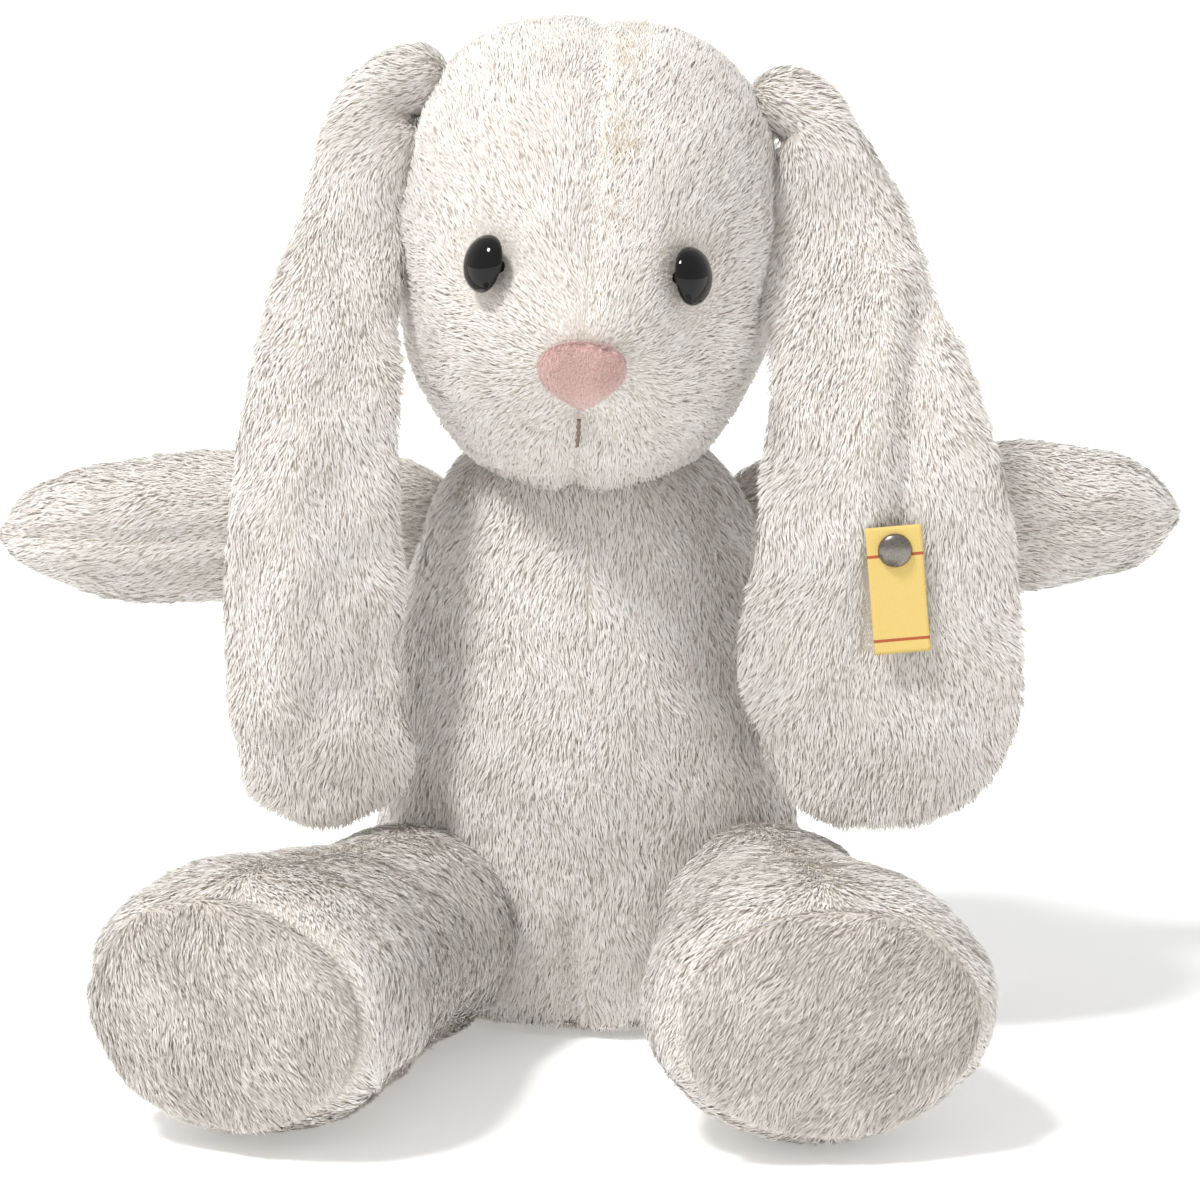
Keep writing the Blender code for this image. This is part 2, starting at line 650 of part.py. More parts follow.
def make_rivet_and_tag(ear_joint, tag_joint, tools):
    """Dome rivet, its washer behind the ear, and the tag that swings on its shank."""
    frame = rivet_frame()
    tag_back = EAR_HALF_THICKNESS + SEAM_GAP
    head_back = tag_back + TAG_THICKNESS + SEAM_GAP
    washer_front = -(EAR_HALF_THICKNESS + SEAM_GAP)
    washer_back = washer_front - RIVET_WASHER_THICKNESS
    tail = washer_back - SEAM_GAP
    profile = [(0.0, tail), (RIVET_SHANK, tail), (RIVET_SHANK, head_back)]
    profile += [(0.93 * RIVET_RADIUS, head_back)]
    for step in range(6):
        angle = math.radians(90.0) * step / 5.0
        height = head_back + 0.0004 + RIVET_HEIGHT * math.sin(angle)
        profile.append((RIVET_RADIUS * math.cos(angle), height))
    node("ear_rivet", turned(profile, frame, 20), "steel", ear_joint)
    bore = RIVET_SHANK + HOLE_GAP
    edge = ((bore, washer_front), (RIVET_WASHER_RADIUS, washer_front))
    edge += ((RIVET_WASHER_RADIUS, washer_back), (bore, washer_back))
    node("ear_rivet_washer", turned(edge, frame, 16, closed=True), "steel", ear_joint)

    lean = Matrix.Rotation(math.radians(TAG_LEAN), 4, "Z")
    middle = Vector((0.0, TAG_ABOVE_RIVET - TAG_LENGTH / 2.0, tag_back + TAG_THICKNESS / 2.0))
    size = Matrix.Diagonal((TAG_WIDTH, TAG_LENGTH, TAG_THICKNESS, 1.0))
    bm = bmesh.new()
    bmesh.ops.create_cube(bm, size=1.0, matrix=frame @ lean @ Matrix.Translation(middle) @ size)
    node("ear_tag", bm, "woven_tag", tag_joint, [tools["rivet_hole"]])


def limb_stations(root, along, up, radius, run):
    """Stations of a limb: a round root about the pivot, then its own run."""
    across = along.cross(up)
    stations = []
    for angle in (-80.0, -58.0, -35.0):
        size = radius * math.cos(math.radians(angle))
        centre = root + along * radius * math.sin(math.radians(angle))
        stations.append((centre, across, up, size, size))
    for reach, lift, half_across, half_up in run:
        stations.append((root + along * reach + up * lift, across, up, half_across, half_up))
    return stations


def make_arm(side, sign, joint):
    """Upper and lower panels and the filling of an arm."""
    root = arm_root(sign)
    lift = math.radians(ARM_LIFT[side])
    along = X * sign * math.cos(lift) + Z * math.sin(lift)
    up = Y.cross(along) * -sign
    shape = ((0.2, 0.3), (0.48, 1.0), (0.7, 0.94), (0.86, 0.73), (0.95, 0.42), (1.0, 0.14))
    run = [(0.0, 0.0, ARM_ROOT_RADIUS, ARM_ROOT_RADIUS)]
    for reach, share in shape:
        half_up, half_across = ARM_HALF_HEIGHT * share, ARM_HALF_DEPTH * share
        if reach < 0.3:
            half_up = ARM_ROOT_RADIUS + (ARM_HALF_HEIGHT - ARM_ROOT_RADIUS) * share
            half_across = ARM_ROOT_RADIUS + (ARM_HALF_DEPTH - ARM_ROOT_RADIUS) * share
        run.append((ARM_LENGTH * reach, 0.0, half_across, half_up))
    skin = loft(limb_stations(root, along, up, ARM_ROOT_RADIUS, run), ARM_SEGMENTS)
    opening = (root - along * ROOT_OPENING * ARM_ROOT_RADIUS, -along)
    lower, upper = seam_cuts(root, up)
    node(f"arm_{side}_upper_panel", panel(skin, [opening, upper]), "plush_fur", joint)
    node(f"arm_{side}_lower_panel", panel(skin, [opening, lower]), "plush_fur", joint)
    node(f"arm_{side}_filling", filling_of(skin), "filling", joint)
    skin.free()


def make_leg(side, sign, joint):
    """Inner and outer panels, sole and filling of a leg."""
    root = leg_root(sign)
    splay = math.radians(LEG_SPLAY[side])
    along = X * sign * math.sin(splay) - Y * math.cos(splay)
    run = [(0.0, 0.0, LEG_ROOT_RADIUS, LEG_ROOT_RADIUS)]
    for reach, share in ((0.28, 0.2), (0.57, 0.66), (0.84, 1.0)):
        half_across = LEG_ROOT_RADIUS + (FOOT_HALF_WIDTH - LEG_ROOT_RADIUS) * share
        half_up = LEG_ROOT_RADIUS + (FOOT_HALF_HEIGHT - LEG_ROOT_RADIUS) * share
        run.append((LEG_LENGTH * reach, half_up - root.z, half_across, half_up))
    for bulge, share in ((0.0, 1.0), (0.42, 0.94), (0.74, 0.76), (0.93, 0.46), (1.0, 0.16)):
        size = (SOLE_SHARE * share * FOOT_HALF_WIDTH, SOLE_SHARE * share * FOOT_HALF_HEIGHT)
        run.append((LEG_LENGTH + SOLE_BULGE * bulge, FOOT_HALF_HEIGHT - root.z, *size))
    skin = loft(limb_stations(root, along, Z, LEG_ROOT_RADIUS, run), LEG_SEGMENTS)
    opening = (root - along * ROOT_OPENING * LEG_ROOT_RADIUS, -along)
    shank, sole = seam_cuts(root + along * LEG_LENGTH, along)
    outwards = along.cross(Z) * -sign
    inner, outer = seam_cuts(root, outwards)
    node(f"leg_{side}_inner_panel", panel(skin, [opening, shank, inner]), "plush_fur", joint)
    node(f"leg_{side}_outer_panel", panel(skin, [opening, shank, outer]), "plush_fur", joint)
    node(f"leg_{side}_sole", panel(skin, [sole]), "plush_fur", joint)
    node(f"leg_{side}_filling", filling_of(skin), "filling", joint)
    skin.free()


def main():
    """Build the rabbit: torso, head with ears and tag, then the four limbs."""
    clear_scene()
    tools = make_sockets()
    tools["rivet_hole"] = cutter("rivet_hole", rivet_hole())
    make_torso(tools)
    head = joint_empty("neck_axis", NECK)
    make_head(tools, head)
    ears = {}
    for side, sign in SIDES.items():
        ears[side] = joint_empty(f"ear_{side}_axis", ear_root(sign), head)
        make_ear(side, sign, ears[side], tools)
    tag = joint_empty("tag_axis", rivet_frame().translation, ears["left"])
    make_rivet_and_tag(ears["left"], tag, tools)
    for side, sign in SIDES.items():
        make_arm(side, sign, joint_empty(f"arm_{side}_axis", arm_root(sign)))
        make_leg(side, sign, joint_empty(f"leg_{side}_axis", leg_root(sign)))


main()
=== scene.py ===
"""Looks of a sitting plush rabbit: fur-covered cushions, sewn seams, eyes, nose and ear tag.

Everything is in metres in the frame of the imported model: +Z up, the face towards -Y,
and +X to the rabbit's own left. Each soft part is a knit cover, which follows the
model's covers a pile's depth inside them, with the pile's strands planted on it.
"""

import json
import logging
import math
from collections.abc import Callable
from dataclasses import dataclass
from enum import Enum

import bmesh
import bpy
import numpy as np
from mathutils import Matrix, Vector


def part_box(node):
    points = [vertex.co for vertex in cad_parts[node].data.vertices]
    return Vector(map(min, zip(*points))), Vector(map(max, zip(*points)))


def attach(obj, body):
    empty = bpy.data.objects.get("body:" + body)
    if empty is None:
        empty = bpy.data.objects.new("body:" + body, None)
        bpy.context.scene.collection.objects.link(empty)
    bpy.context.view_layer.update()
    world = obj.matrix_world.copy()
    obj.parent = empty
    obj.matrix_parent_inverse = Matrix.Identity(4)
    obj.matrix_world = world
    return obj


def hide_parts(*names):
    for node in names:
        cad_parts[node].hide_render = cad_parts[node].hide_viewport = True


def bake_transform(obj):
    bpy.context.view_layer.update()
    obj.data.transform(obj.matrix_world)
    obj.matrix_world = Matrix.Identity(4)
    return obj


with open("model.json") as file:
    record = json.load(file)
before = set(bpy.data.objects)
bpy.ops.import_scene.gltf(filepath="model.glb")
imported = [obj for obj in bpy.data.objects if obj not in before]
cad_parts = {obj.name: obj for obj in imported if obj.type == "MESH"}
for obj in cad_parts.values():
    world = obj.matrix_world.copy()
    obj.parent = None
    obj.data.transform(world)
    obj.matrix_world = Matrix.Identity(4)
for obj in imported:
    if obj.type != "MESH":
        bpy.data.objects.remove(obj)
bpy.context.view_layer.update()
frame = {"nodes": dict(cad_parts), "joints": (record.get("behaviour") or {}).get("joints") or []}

log = logging.getLogger("rabbit")

X = Vector((1.0, 0.0, 0.0))
Y = Vector((0.0, 1.0, 0.0))
Z = Vector((0.0, 0.0, 1.0))
MM = 0.001
SIDES = {"left": 1.0, "right": -1.0}
PILE_DEPTH = 2.7 * MM  # knit cover to the outside of its laid pile
FLOOR_CLEAR = 0.3 * MM

Field = Callable[[np.ndarray], np.ndarray]
Station = tuple[Vector, Vector, Vector, float, float]


# ---------------------------------------------------------------- places from the frame


def pivot(joint: str) -> Vector:
    """World place of a joint's axis.

    Args:
        joint: The joint's name in the record.

    Returns:
        The joint's position at rest.
    """
    row = next(row for row in frame["joints"] if row["name"] == joint)
    return Vector(row["pos_m"])


def middle(node: str) -> Vector:
    """Centre of a CAD node's box."""
    low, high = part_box(node)
    return (low + high) / 2.0


def frame_at(origin: Vector, z_axis: Vector) -> Matrix:
    """Matrix with its Z axis along a direction and its X axis level."""
    x_axis = Z.cross(z_axis).normalized()
    turn = Matrix((x_axis, z_axis.cross(x_axis), z_axis)).transposed().to_4x4()
    turn.translation = origin
    return turn


# ---------------------------------------------------------------- finishes


def linear(colour: str) -> tuple[float, float, float, float]:
    """Linear colour of an sRGB hex value such as "#d8d2c8"."""
    channels = [int(colour[start:start + 2], 16) / 255.0 for start in (1, 3, 5)]
    steps = [c / 12.92 if c <= 0.04045 else ((c + 0.055) / 1.055) ** 2.4 for c in channels]
    return (*steps, 1.0)


def add_node(tree: bpy.types.NodeTree, kind: str, **wiring: object) -> bpy.types.Node:
    """Add a node with its settings and links.

    Args:
        tree: The material's node tree.
        kind: The node's type name.
        wiring: A socket given as "in_NAME" (with _ for spaces) takes a value or an
            output socket to link; any other name is a setting of the node.

    Returns:
        The new node.
    """
    made = tree.nodes.new(kind)
    for key, value in wiring.items():
        if not key.startswith("in_"):
            setattr(made, key, value)
            continue
        label = key[3:].replace("_", " ")
        socket = made.inputs[int(label)] if label.isdigit() else made.inputs[label]
        if isinstance(value, bpy.types.NodeSocket):
            tree.links.new(value, socket)
        else:
            socket.default_value = value
    return made


def set_stops(ramp: bpy.types.Node, stops: tuple[tuple[float, str], ...]) -> None:
    """Give a colour ramp its stops of (place, sRGB hex colour)."""
    elements = ramp.color_ramp.elements
    while len(elements) < len(stops):
        elements.new(0.5)
    for element, (place, colour) in zip(elements, stops):
        element.position = place
        element.color = linear(colour)


@dataclass(frozen=True)
class Finish:
    """One real material, with the constants of its shader."""

    name: str
    colour: str
    roughness: float
    metallic: float = 0.0
    ior: float = 1.5
    sheen: float = 0.0
    coat: float = 0.0

    def start(self) -> tuple[bpy.types.Material, bpy.types.NodeTree, bpy.types.Node]:
        """Material with its constants set.

        Returns:
            The material, its node tree and its shader.
        """
        material = bpy.data.materials.new(self.name)
        material.use_nodes = True
        tree = material.node_tree
        shader = tree.nodes["Principled BSDF"]
        shader.inputs["Base Color"].default_value = linear(self.colour)
        shader.inputs["Roughness"].default_value = self.roughness
        shader.inputs["Metallic"].default_value = self.metallic
        shader.inputs["Sheen Weight"].default_value = self.sheen
        shader.inputs["Sheen Roughness"].default_value = 0.5
        shader.inputs["Coat Weight"].default_value = self.coat
        shader.inputs["Coat Roughness"].default_value = 0.03
        if not self.metallic:
            shader.inputs["IOR"].default_value = self.ior
        return material, tree, shader

    def build(self) -> bpy.types.Material:
        """The finished material; a plain finish adds nothing to its constants."""
        return self.start()[0]


@dataclass(frozen=True)
class PileFibre(Finish):
    """Staple polyester pile: each strand pales from its root to its tip, partly from its own darker base and
    partly as painted shade deep in the pile.
    """

    roots: tuple[str, ...] = ()
    tips: tuple[str, ...] = ()

    def build(self) -> bpy.types.Material:
        """Two ramps across the strands' shades, mixed from root to tip."""
        material, tree, shader = self.start()
        place = add_node(tree, "ShaderNodeUVMap", uv_map="OFBake")
        axes = add_node(tree, "ShaderNodeSeparateXYZ", in_Vector=place.outputs["UV"])
        shades = []
        for colours in (self.roots, self.tips):
            ramp = add_node(tree, "ShaderNodeValToRGB", in_Fac=axes.outputs["X"])
            last = len(colours) - 1
            set_stops(ramp, tuple((i / last, colour) for i, colour in enumerate(colours)))
            shades.append(ramp.outputs["Color"])
        along = add_node(
            tree, "ShaderNodeMapRange", in_Value=axes.outputs["Y"],
            in_From_Min=0.0, in_From_Max=0.75, interpolation_type="SMOOTHSTEP",
        )
        mix = add_node(
            tree, "ShaderNodeMix", data_type="RGBA", in_0=along.outputs["Result"],
            in_6=shades[0], in_7=shades[1],
        )
        tree.links.new(mix.outputs[2], shader.inputs["Base Color"])
        return material


@dataclass(frozen=True)
class KnitBacking(Finish):
    """Warp-knit polyester ground of a plush: fine wales, a little darker in its dips."""

    wale: float = 0.9 * MM
    dark: str = "#ccc3b7"

    def build(self) -> bpy.types.Material:
        """Wales as waves along X, loops as waves along Z, and mottled dye."""
        material, tree, shader = self.start()
        place = add_node(tree, "ShaderNodeTexCoord").outputs["Object"]
        wave = {"wave_type": "BANDS", "in_Vector": place, "in_Distortion": 1.5}
        turns = 1.0 / (self.wale * 20.0) * math.tau / 2.0
        wales = add_node(tree, "ShaderNodeTexWave", bands_direction="X", in_Scale=turns, **wave)
        loops = add_node(tree, "ShaderNodeTexWave", bands_direction="Z", in_Scale=turns, **wave)
        knit = add_node(
            tree, "ShaderNodeMath", operation="MULTIPLY",
            in_0=wales.outputs["Fac"], in_1=loops.outputs["Fac"],
        )
        dye = add_node(tree, "ShaderNodeTexNoise", in_Vector=place, in_Scale=90.0)
        ramp = add_node(tree, "ShaderNodeValToRGB", in_Fac=dye.outputs["Fac"])
        set_stops(ramp, ((0.3, self.dark), (0.7, self.colour)))
        bump = add_node(
            tree, "ShaderNodeBump", in_Strength=0.5, in_Distance=0.3 * MM,
            in_Height=knit.outputs["Value"],
        )
        tree.links.new(ramp.outputs["Color"], shader.inputs["Base Color"])
        tree.links.new(bump.outputs["Normal"], shader.inputs["Normal"])
        return material


@dataclass(frozen=True)
class Mottled(Finish):
    """Finish with a grain: two colours mixed by noise, and the grain's relief."""

    other: str = "#000000"
    grain: float = 1.0 * MM
    relief: float = 0.1 * MM
    rough_spread: float = 0.0

    def build(self) -> bpy.types.Material:
        """Noise of the grain's size drives the colour, roughness and bump."""
        material, tree, shader = self.start()
        place = add_node(tree, "ShaderNodeTexCoord").outputs["Object"]
        noise = add_node(
            tree, "ShaderNodeTexNoise", in_Vector=place, in_Scale=1.0 / self.grain, in_Detail=3.0
        )
        ramp = add_node(tree, "ShaderNodeValToRGB", in_Fac=noise.outputs["Fac"])
        set_stops(ramp, ((0.35, self.other), (0.65, self.colour)))
        bump = add_node(
            tree, "ShaderNodeBump", in_Strength=0.6, in_Distance=self.relief,
            in_Height=noise.outputs["Fac"],
        )
        tree.links.new(ramp.outputs["Color"], shader.inputs["Base Color"])
        tree.links.new(bump.outputs["Normal"], shader.inputs["Normal"])
        if self.rough_spread:
            rough = add_node(
                tree, "ShaderNodeMapRange", in_Value=noise.outputs["Fac"],
                in_To_Min=self.roughness - self.rough_spread,
                in_To_Max=self.roughness + self.rough_spread,
            )
            tree.links.new(rough.outputs["Result"], shader.inputs["Roughness"])
        return material


@dataclass(frozen=True)
class Ribbon(Finish):
    """Woven ribbon: plain weave of fine threads with woven stripes near its ends."""

    stripe: str = "#000000"
    thread: float = 0.45 * MM
    stripes: tuple[tuple[float, float], ...] = ()

    def build(self) -> bpy.types.Material:
        """Weave and stripes on the ribbon's own map, in which V runs down its length."""
        material, tree, shader = self.start()
        place = add_node(tree, "ShaderNodeUVMap", uv_map="Ribbon").outputs["UV"]
        axes = add_node(tree, "ShaderNodeSeparateXYZ", in_Vector=place)
        turns = math.tau / 20.0 / self.thread
        wave = {"wave_type": "BANDS", "in_Vector": place, "in_Scale": turns}
        warp = add_node(tree, "ShaderNodeTexWave", bands_direction="X", **wave)
        weft = add_node(tree, "ShaderNodeTexWave", bands_direction="Y", **wave)
        weave = add_node(
            tree, "ShaderNodeMath", operation="MULTIPLY",
            in_0=warp.outputs["Fac"], in_1=weft.outputs["Fac"],
        )
        total = weave.outputs["Value"]
        # Painted shade: the colour falls to 0.82 of itself where the weave dips between threads, as the bump
        # does.
        shade = add_node(
            tree, "ShaderNodeMix", data_type="RGBA", in_0=total,
            in_6=tuple(0.82 * c for c in linear(self.colour)[:3]) + (1.0,),
            in_7=linear(self.colour),
        ).outputs[2]
        for centre, half in self.stripes:
            band = add_node(
                tree, "ShaderNodeMath", operation="COMPARE", in_0=axes.outputs["Y"],
                in_1=centre, in_2=half,
            )
            shade = add_node(
                tree, "ShaderNodeMix", data_type="RGBA", in_0=band.outputs["Value"],
                in_6=shade, in_7=linear(self.stripe),
            ).outputs[2]
        bump = add_node(
            tree, "ShaderNodeBump", in_Strength=0.5, in_Distance=0.12 * MM, in_Height=total
        )
        tree.links.new(shade, shader.inputs["Base Color"])
        tree.links.new(bump.outputs["Normal"], shader.inputs["Normal"])
        return material


class Look(Enum):
    """The rabbit's finishes, each with the record's slot that it belongs to."""

    # Long polyester pile: soft, pale and matt, warmer and darker towards the backing, partly the fibre's own
    # darker base and partly painted shade deep in the pile. Its first, darkest colours are reached only by
    # painted shade, on the soles and by the dart; its last are beige colours of wear.
    PILE = ("plush_fur", PileFibre(
        "polyester_pile", "#dcd5cb", 0.85, sheen=0.35,
        roots=("#b1aba4", "#d2c9bf", "#dad3ca", "#e2dcd4", "#c4b49d"),
        tips=("#c3bdb5", "#e6dfd7", "#f0ece6", "#f9f7f3", "#d2c2aa"),
    ))
    # Knit ground under the pile, seen only where the pile parts.
    KNIT = ("plush_fur", KnitBacking("polyester_knit_backing", "#dcd4ca", 0.95))
    # Short cotton velour of the nose: dusty pink, with a pale bloom at its edges.
    VELOUR = ("nose_velour", Mottled(
        "cotton_velour", "#dcb6b0", 0.9, sheen=0.6, other="#cfa49e", grain=0.8 * MM,
        relief=0.15 * MM,
    ))
    # Its short strands are darker towards their roots: painted shade deep in the nap.
    VELOUR_PILE = ("nose_velour", PileFibre(
        "cotton_velour_pile", "#dfb7b0", 0.9, sheen=0.5,
        roots=("#bf9893", "#cba6a0"), tips=("#dfbdb7", "#eed3ce"),
    ))
    # Moulded black acrylic eye under a clear gloss: mirror highlights, deep black.
    EYE = ("eye_gloss", Mottled(
        "moulded_acrylic_gloss", "#0c0a09", 0.05, ior=1.40, other="#080606",
        grain=6.0 * MM, relief=0.005 * MM,
    ))
    # Nickel-plated steel rivet, tumbled: soft dark reflections with fine scuffs.
    STEEL = ("steel", Mottled(
        "nickel_plated_steel", "#8f8b84", 0.28, metallic=1.0, other="#7a766f",
        grain=0.5 * MM, relief=0.01 * MM, rough_spread=0.08,
    ))
    # Pressed polyethylene washers: milky white and a little waxy.
    PLASTIC = ("white_plastic", Mottled(
        "polyethylene", "#dedcd4", 0.45, other="#d2cfc6", grain=1.5 * MM, relief=0.02 * MM,
    ))
    # Woven viscose ribbon in warm yellow with two plain red-brown stripes.
    RIBBON = ("woven_tag", Ribbon(
        "woven_viscose_ribbon", "#f4d57c", 0.55, sheen=0.2, stripe="#b5582f",
        stripes=((0.0075, 0.0004), (0.0295, 0.0004)),
    ))
    # Satin tape of the care label: white with a silky face.
    TAPE = ("label_cloth", Ribbon("polyester_satin_tape", "#ebe9e3", 0.42, thread=0.35 * MM))
    # Twisted sewing thread in the plush's own shade.
    THREAD = ("thread", Mottled(
        "polyester_thread", "#8d7a6c", 0.7, sheen=0.2, other="#75655a", grain=0.4 * MM,
        relief=0.05 * MM,
    ))
    # Loose hollow-fibre filling: white and fluffy.
    FILLING = ("filling", Mottled(
        "polyester_hollow_fibre", "#ecebe6", 0.95, sheen=0.4, other="#d9d7d0",
        grain=2.0 * MM, relief=0.6 * MM,
    ))

    @property
    def slot(self) -> str:
        """Name of the record's material slot."""
        return self.value[0]

    @property
    def finish(self) -> Finish:
        """The finish behind the look."""
        return self.value[1]


# ---------------------------------------------------------------- the workshop


class Workshop:
    """Dresses finished pieces and hangs them on the frame's bodies."""

    def __init__(self) -> None:
        """Start with no finish mixed yet."""
        self.materials: dict[Look, bpy.types.Material] = {}

    def paint(self, look: Look) -> bpy.types.Material:
        """Material of a look, made on its first use."""
        if look not in self.materials:
            self.materials[look] = look.finish.build()
        return self.materials[look]

    def add(
        self, piece: bpy.types.Object, look: Look, body: str, *nodes: str
    ) -> bpy.types.Object:
        """Dress a piece, let it ride on a body and hide the CAD nodes that it replaces.

        Args:
            piece: The finished piece.
            look: Its finish.
            body: The body that it moves with.
            nodes: The CAD nodes that it replaces.

        Returns:
            The same piece.
        """
        self.dress(piece, look, *nodes)
        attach(piece, body)
        return piece

    def dress(self, piece: bpy.types.Object, look: Look, *nodes: str) -> None:
        """Give a piece its material and hide the CAD nodes that it replaces, without a body."""
        piece.data.materials.clear()
        piece.data.materials.append(self.paint(look))
        if nodes:
            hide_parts(*nodes)
        log.info("%s: %d faces", piece.name, len(piece.data.polygons))

    def repaint(self, node: str, look: Look) -> None:
        """Give a CAD node that stays a better material."""
        slots = frame["nodes"][node].data.materials
        slots.clear()
        slots.append(self.paint(look))


# ---------------------------------------------------------------- shape helpers


def piece_of(name: str, bm: bmesh.types.BMesh, smooth: bool = True) -> bpy.types.Object:
    """Object at the origin that holds a bmesh's shape, which is then freed."""
    mesh = bpy.data.meshes.new(name)
    bm.to_mesh(mesh)
    bm.free()
    if smooth:
        mesh.shade_smooth()
    piece = bpy.data.objects.new(name, mesh)
    bpy.context.collection.objects.link(piece)
    return piece


def eased(keys: list[Station], steps: int) -> list[Station]:
    """Stations read from smooth curves through a few key stations.

    Args:
        keys: The stations to pass through.
        steps: How many stations each gap between two keys becomes.

    Returns:
        The finer stations, with square-on unit axes.
    """
    rows = np.array([[*c, *a, *u, ha, hu] for c, a, u, ha, hu in keys])
    gaps = np.linalg.norm(np.diff(rows[:, :3], axis=0), axis=1)
    gaps += 0.5 * np.abs(np.diff(rows[:, 9]))
    at = np.concatenate(([0.0], np.cumsum(gaps)))
    slopes = np.gradient(rows, at, axis=0)
    stations = []
    for index in range(len(keys) - 1):
        span = at[index + 1] - at[index]
        for share in np.arange(steps) / steps:
            square, cube = share * share, share ** 3
            row = (2 * cube - 3 * square + 1) * rows[index]
            row += (cube - 2 * square + share) * span * slopes[index]
            row += (3 * square - 2 * cube) * rows[index + 1]
            row += (cube - square) * span * slopes[index + 1]
            stations.append(row)
    stations.append(rows[-1])
    result = []
    for row in stations:
        across = Vector(row[3:6]).normalized()
        up = Vector(row[6:9])
        up = (up - across * up.dot(across)).normalized()
        result.append((Vector(row[:3]), across, up, max(row[9], 1e-4), max(row[10], 1e-4)))
    return result


def loft(stations: list[Station], segments: int) -> bmesh.types.BMesh:
    """Closed skin through stations of (centre, across, up, half across, half up)."""
    frames = []
    for centre, across, up, half_across, half_up in stations:
        turn = Matrix((across * half_across, up * half_up, across.cross(up))).transposed()
        turn = turn.to_4x4()
        turn.translation = centre
        frames.append(turn)
    bm = bmesh.new()
    bmesh.ops.create_circle(bm, cap_ends=True, segments=segments, radius=1.0, matrix=frames[0])
    edges = bm.edges[:]
    for before, after in zip(frames, frames[1:]):
        grown = bmesh.ops.extrude_edge_only(bm, edges=edges)["geom"]
        ring = [item for item in grown if isinstance(item, bmesh.types.BMVert)]
        bmesh.ops.transform(bm, matrix=after @ before.inverted(), verts=ring)
        held = set(ring)
        edges = [
            item for item in grown
            if isinstance(item, bmesh.types.BMEdge) and held.issuperset(item.verts)
        ]
    bmesh.ops.edgeloop_fill(bm, edges=edges)
    ends = [face for face in bm.faces if len(face.verts) > 4]
    bmesh.ops.poke(bm, faces=ends)
    bmesh.ops.recalc_face_normals(bm, faces=bm.faces)
    return bm


def turned(
    profile: list[tuple[float, float]], place: Matrix, segments: int
) -> bmesh.types.BMesh:
    """Round piece: a profile of (radius, height) turned about the place's Z axis."""
    bm = bmesh.new()
    points = [bm.verts.new((radius, 0.0, height)) for radius, height in profile]
    edges = [bm.edges.new(pair) for pair in zip(points, points[1:])]
    bmesh.ops.spin(
        bm, geom=points + edges, axis=Z, angle=math.tau, steps=segments, use_merge=True
    )
    bmesh.ops.remove_doubles(bm, verts=bm.verts, dist=1e-6)
    bmesh.ops.recalc_face_normals(bm, faces=bm.faces)
    bm.transform(place)
    return bm


def coordinates(mesh: bpy.types.Mesh) -> np.ndarray:
    """Vertex places of a mesh, one row each."""
    flat = np.empty(len(mesh.vertices) * 3)
    mesh.vertices.foreach_get("co", flat)
    return flat.reshape(-1, 3)


def directions(mesh: bpy.types.Mesh) -> np.ndarray:
    """Vertex normals of a mesh, one row each."""
    flat = np.empty(len(mesh.vertices) * 3)
    mesh.vertex_normals.foreach_get("vector", flat)
    return flat.reshape(-1, 3)


def place_points(mesh: bpy.types.Mesh, points: np.ndarray) -> None:
    """Put a mesh's vertices at new places."""
    mesh.vertices.foreach_set("co", points.ravel())
    mesh.update()


def unit(vectors: np.ndarray) -> np.ndarray:
    """Rows scaled to length 1."""
    return vectors / np.maximum(np.linalg.norm(vectors, axis=1, keepdims=True), 1e-9)


def ripple(points: np.ndarray, wave: float, seed: int) -> np.ndarray:
    """Smooth noise of about -1 to 1 from crossed sine waves.

    Args:
        points: Places, one row each.
        wave: Length of the waves.
        seed: Which pattern.

    Returns:
        One number for each place.
    """
    rng = np.random.default_rng(seed)
    ways = unit(rng.normal(size=(7, 3))) * (math.tau / wave) * rng.uniform(0.6, 1.5, (7, 1))
    phases = rng.uniform(0.0, math.tau, 7)
    return np.sin(points @ ways.T + phases).sum(axis=1) / 2.6


def line_distance(points: np.ndarray, line: np.ndarray) -> np.ndarray:
    """Distance of each place from a line through several points."""
    nearest = np.full(len(points), np.inf)
    for start, end in zip(line, line[1:]):
        run = end - start
        share = np.clip((points - start) @ run / max(run @ run, 1e-12), 0.0, 1.0)
        gap = np.linalg.norm(points - start - share[:, None] * run, axis=1)
        nearest = np.minimum(nearest, gap)
    return nearest


@dataclass(frozen=True)
class Seam:
    """Line sewn or folded into a cover.

    Attributes:
        line: Points along it, on or near the cover.
        depth: How far the cover is drawn in.
        width: How far the draw reaches to each side.
        pile: Share of the strands' length left on the line.
    """

    line: np.ndarray
    depth: float = 1.2 * MM
    width: float = 2.6 * MM
    pile: float = 0.65

    def pull(self, points: np.ndarray) -> np.ndarray:
        """How much of the draw reaches each place, 0 to 1."""
        return np.exp(-((line_distance(points, self.line) / self.width) ** 2))


def sculpt(
    piece: bpy.types.Object, seams: list[Seam], lumps: float, wave: float, seed: int
) -> None:
    """Draw the seams into a cover and give it the uneven swell of loose filling.

    Args:
        piece: The cover.
        seams: The lines to draw in.
        lumps: Height of the swell.
        wave: Length of the swell.
        seed: Which pattern of swell.
    """
    points, ways = coordinates(piece.data), directions(piece.data)
    move = lumps * ripple(points, wave, seed)
    for seam in seams:
        move -= seam.depth * seam.pull(points)
    place_points(piece.data, points + move[:, None] * ways)


def inner_copy(name: str, skin: bpy.types.Object, inset: float, seed: int) -> bpy.types.Object:
    """Lump of loose filling just inside a cover."""
    mesh = skin.data.copy()
    mesh.name = name
    points, ways = coordinates(mesh), directions(mesh)
    depth = inset + 0.35 * MM * ripple(points, 9.0 * MM, seed)
    place_points(mesh, points - depth[:, None] * ways)
    piece = bpy.data.objects.new(name, mesh)
    bpy.context.collection.objects.link(piece)
    return piece


# ---------------------------------------------------------------- pile


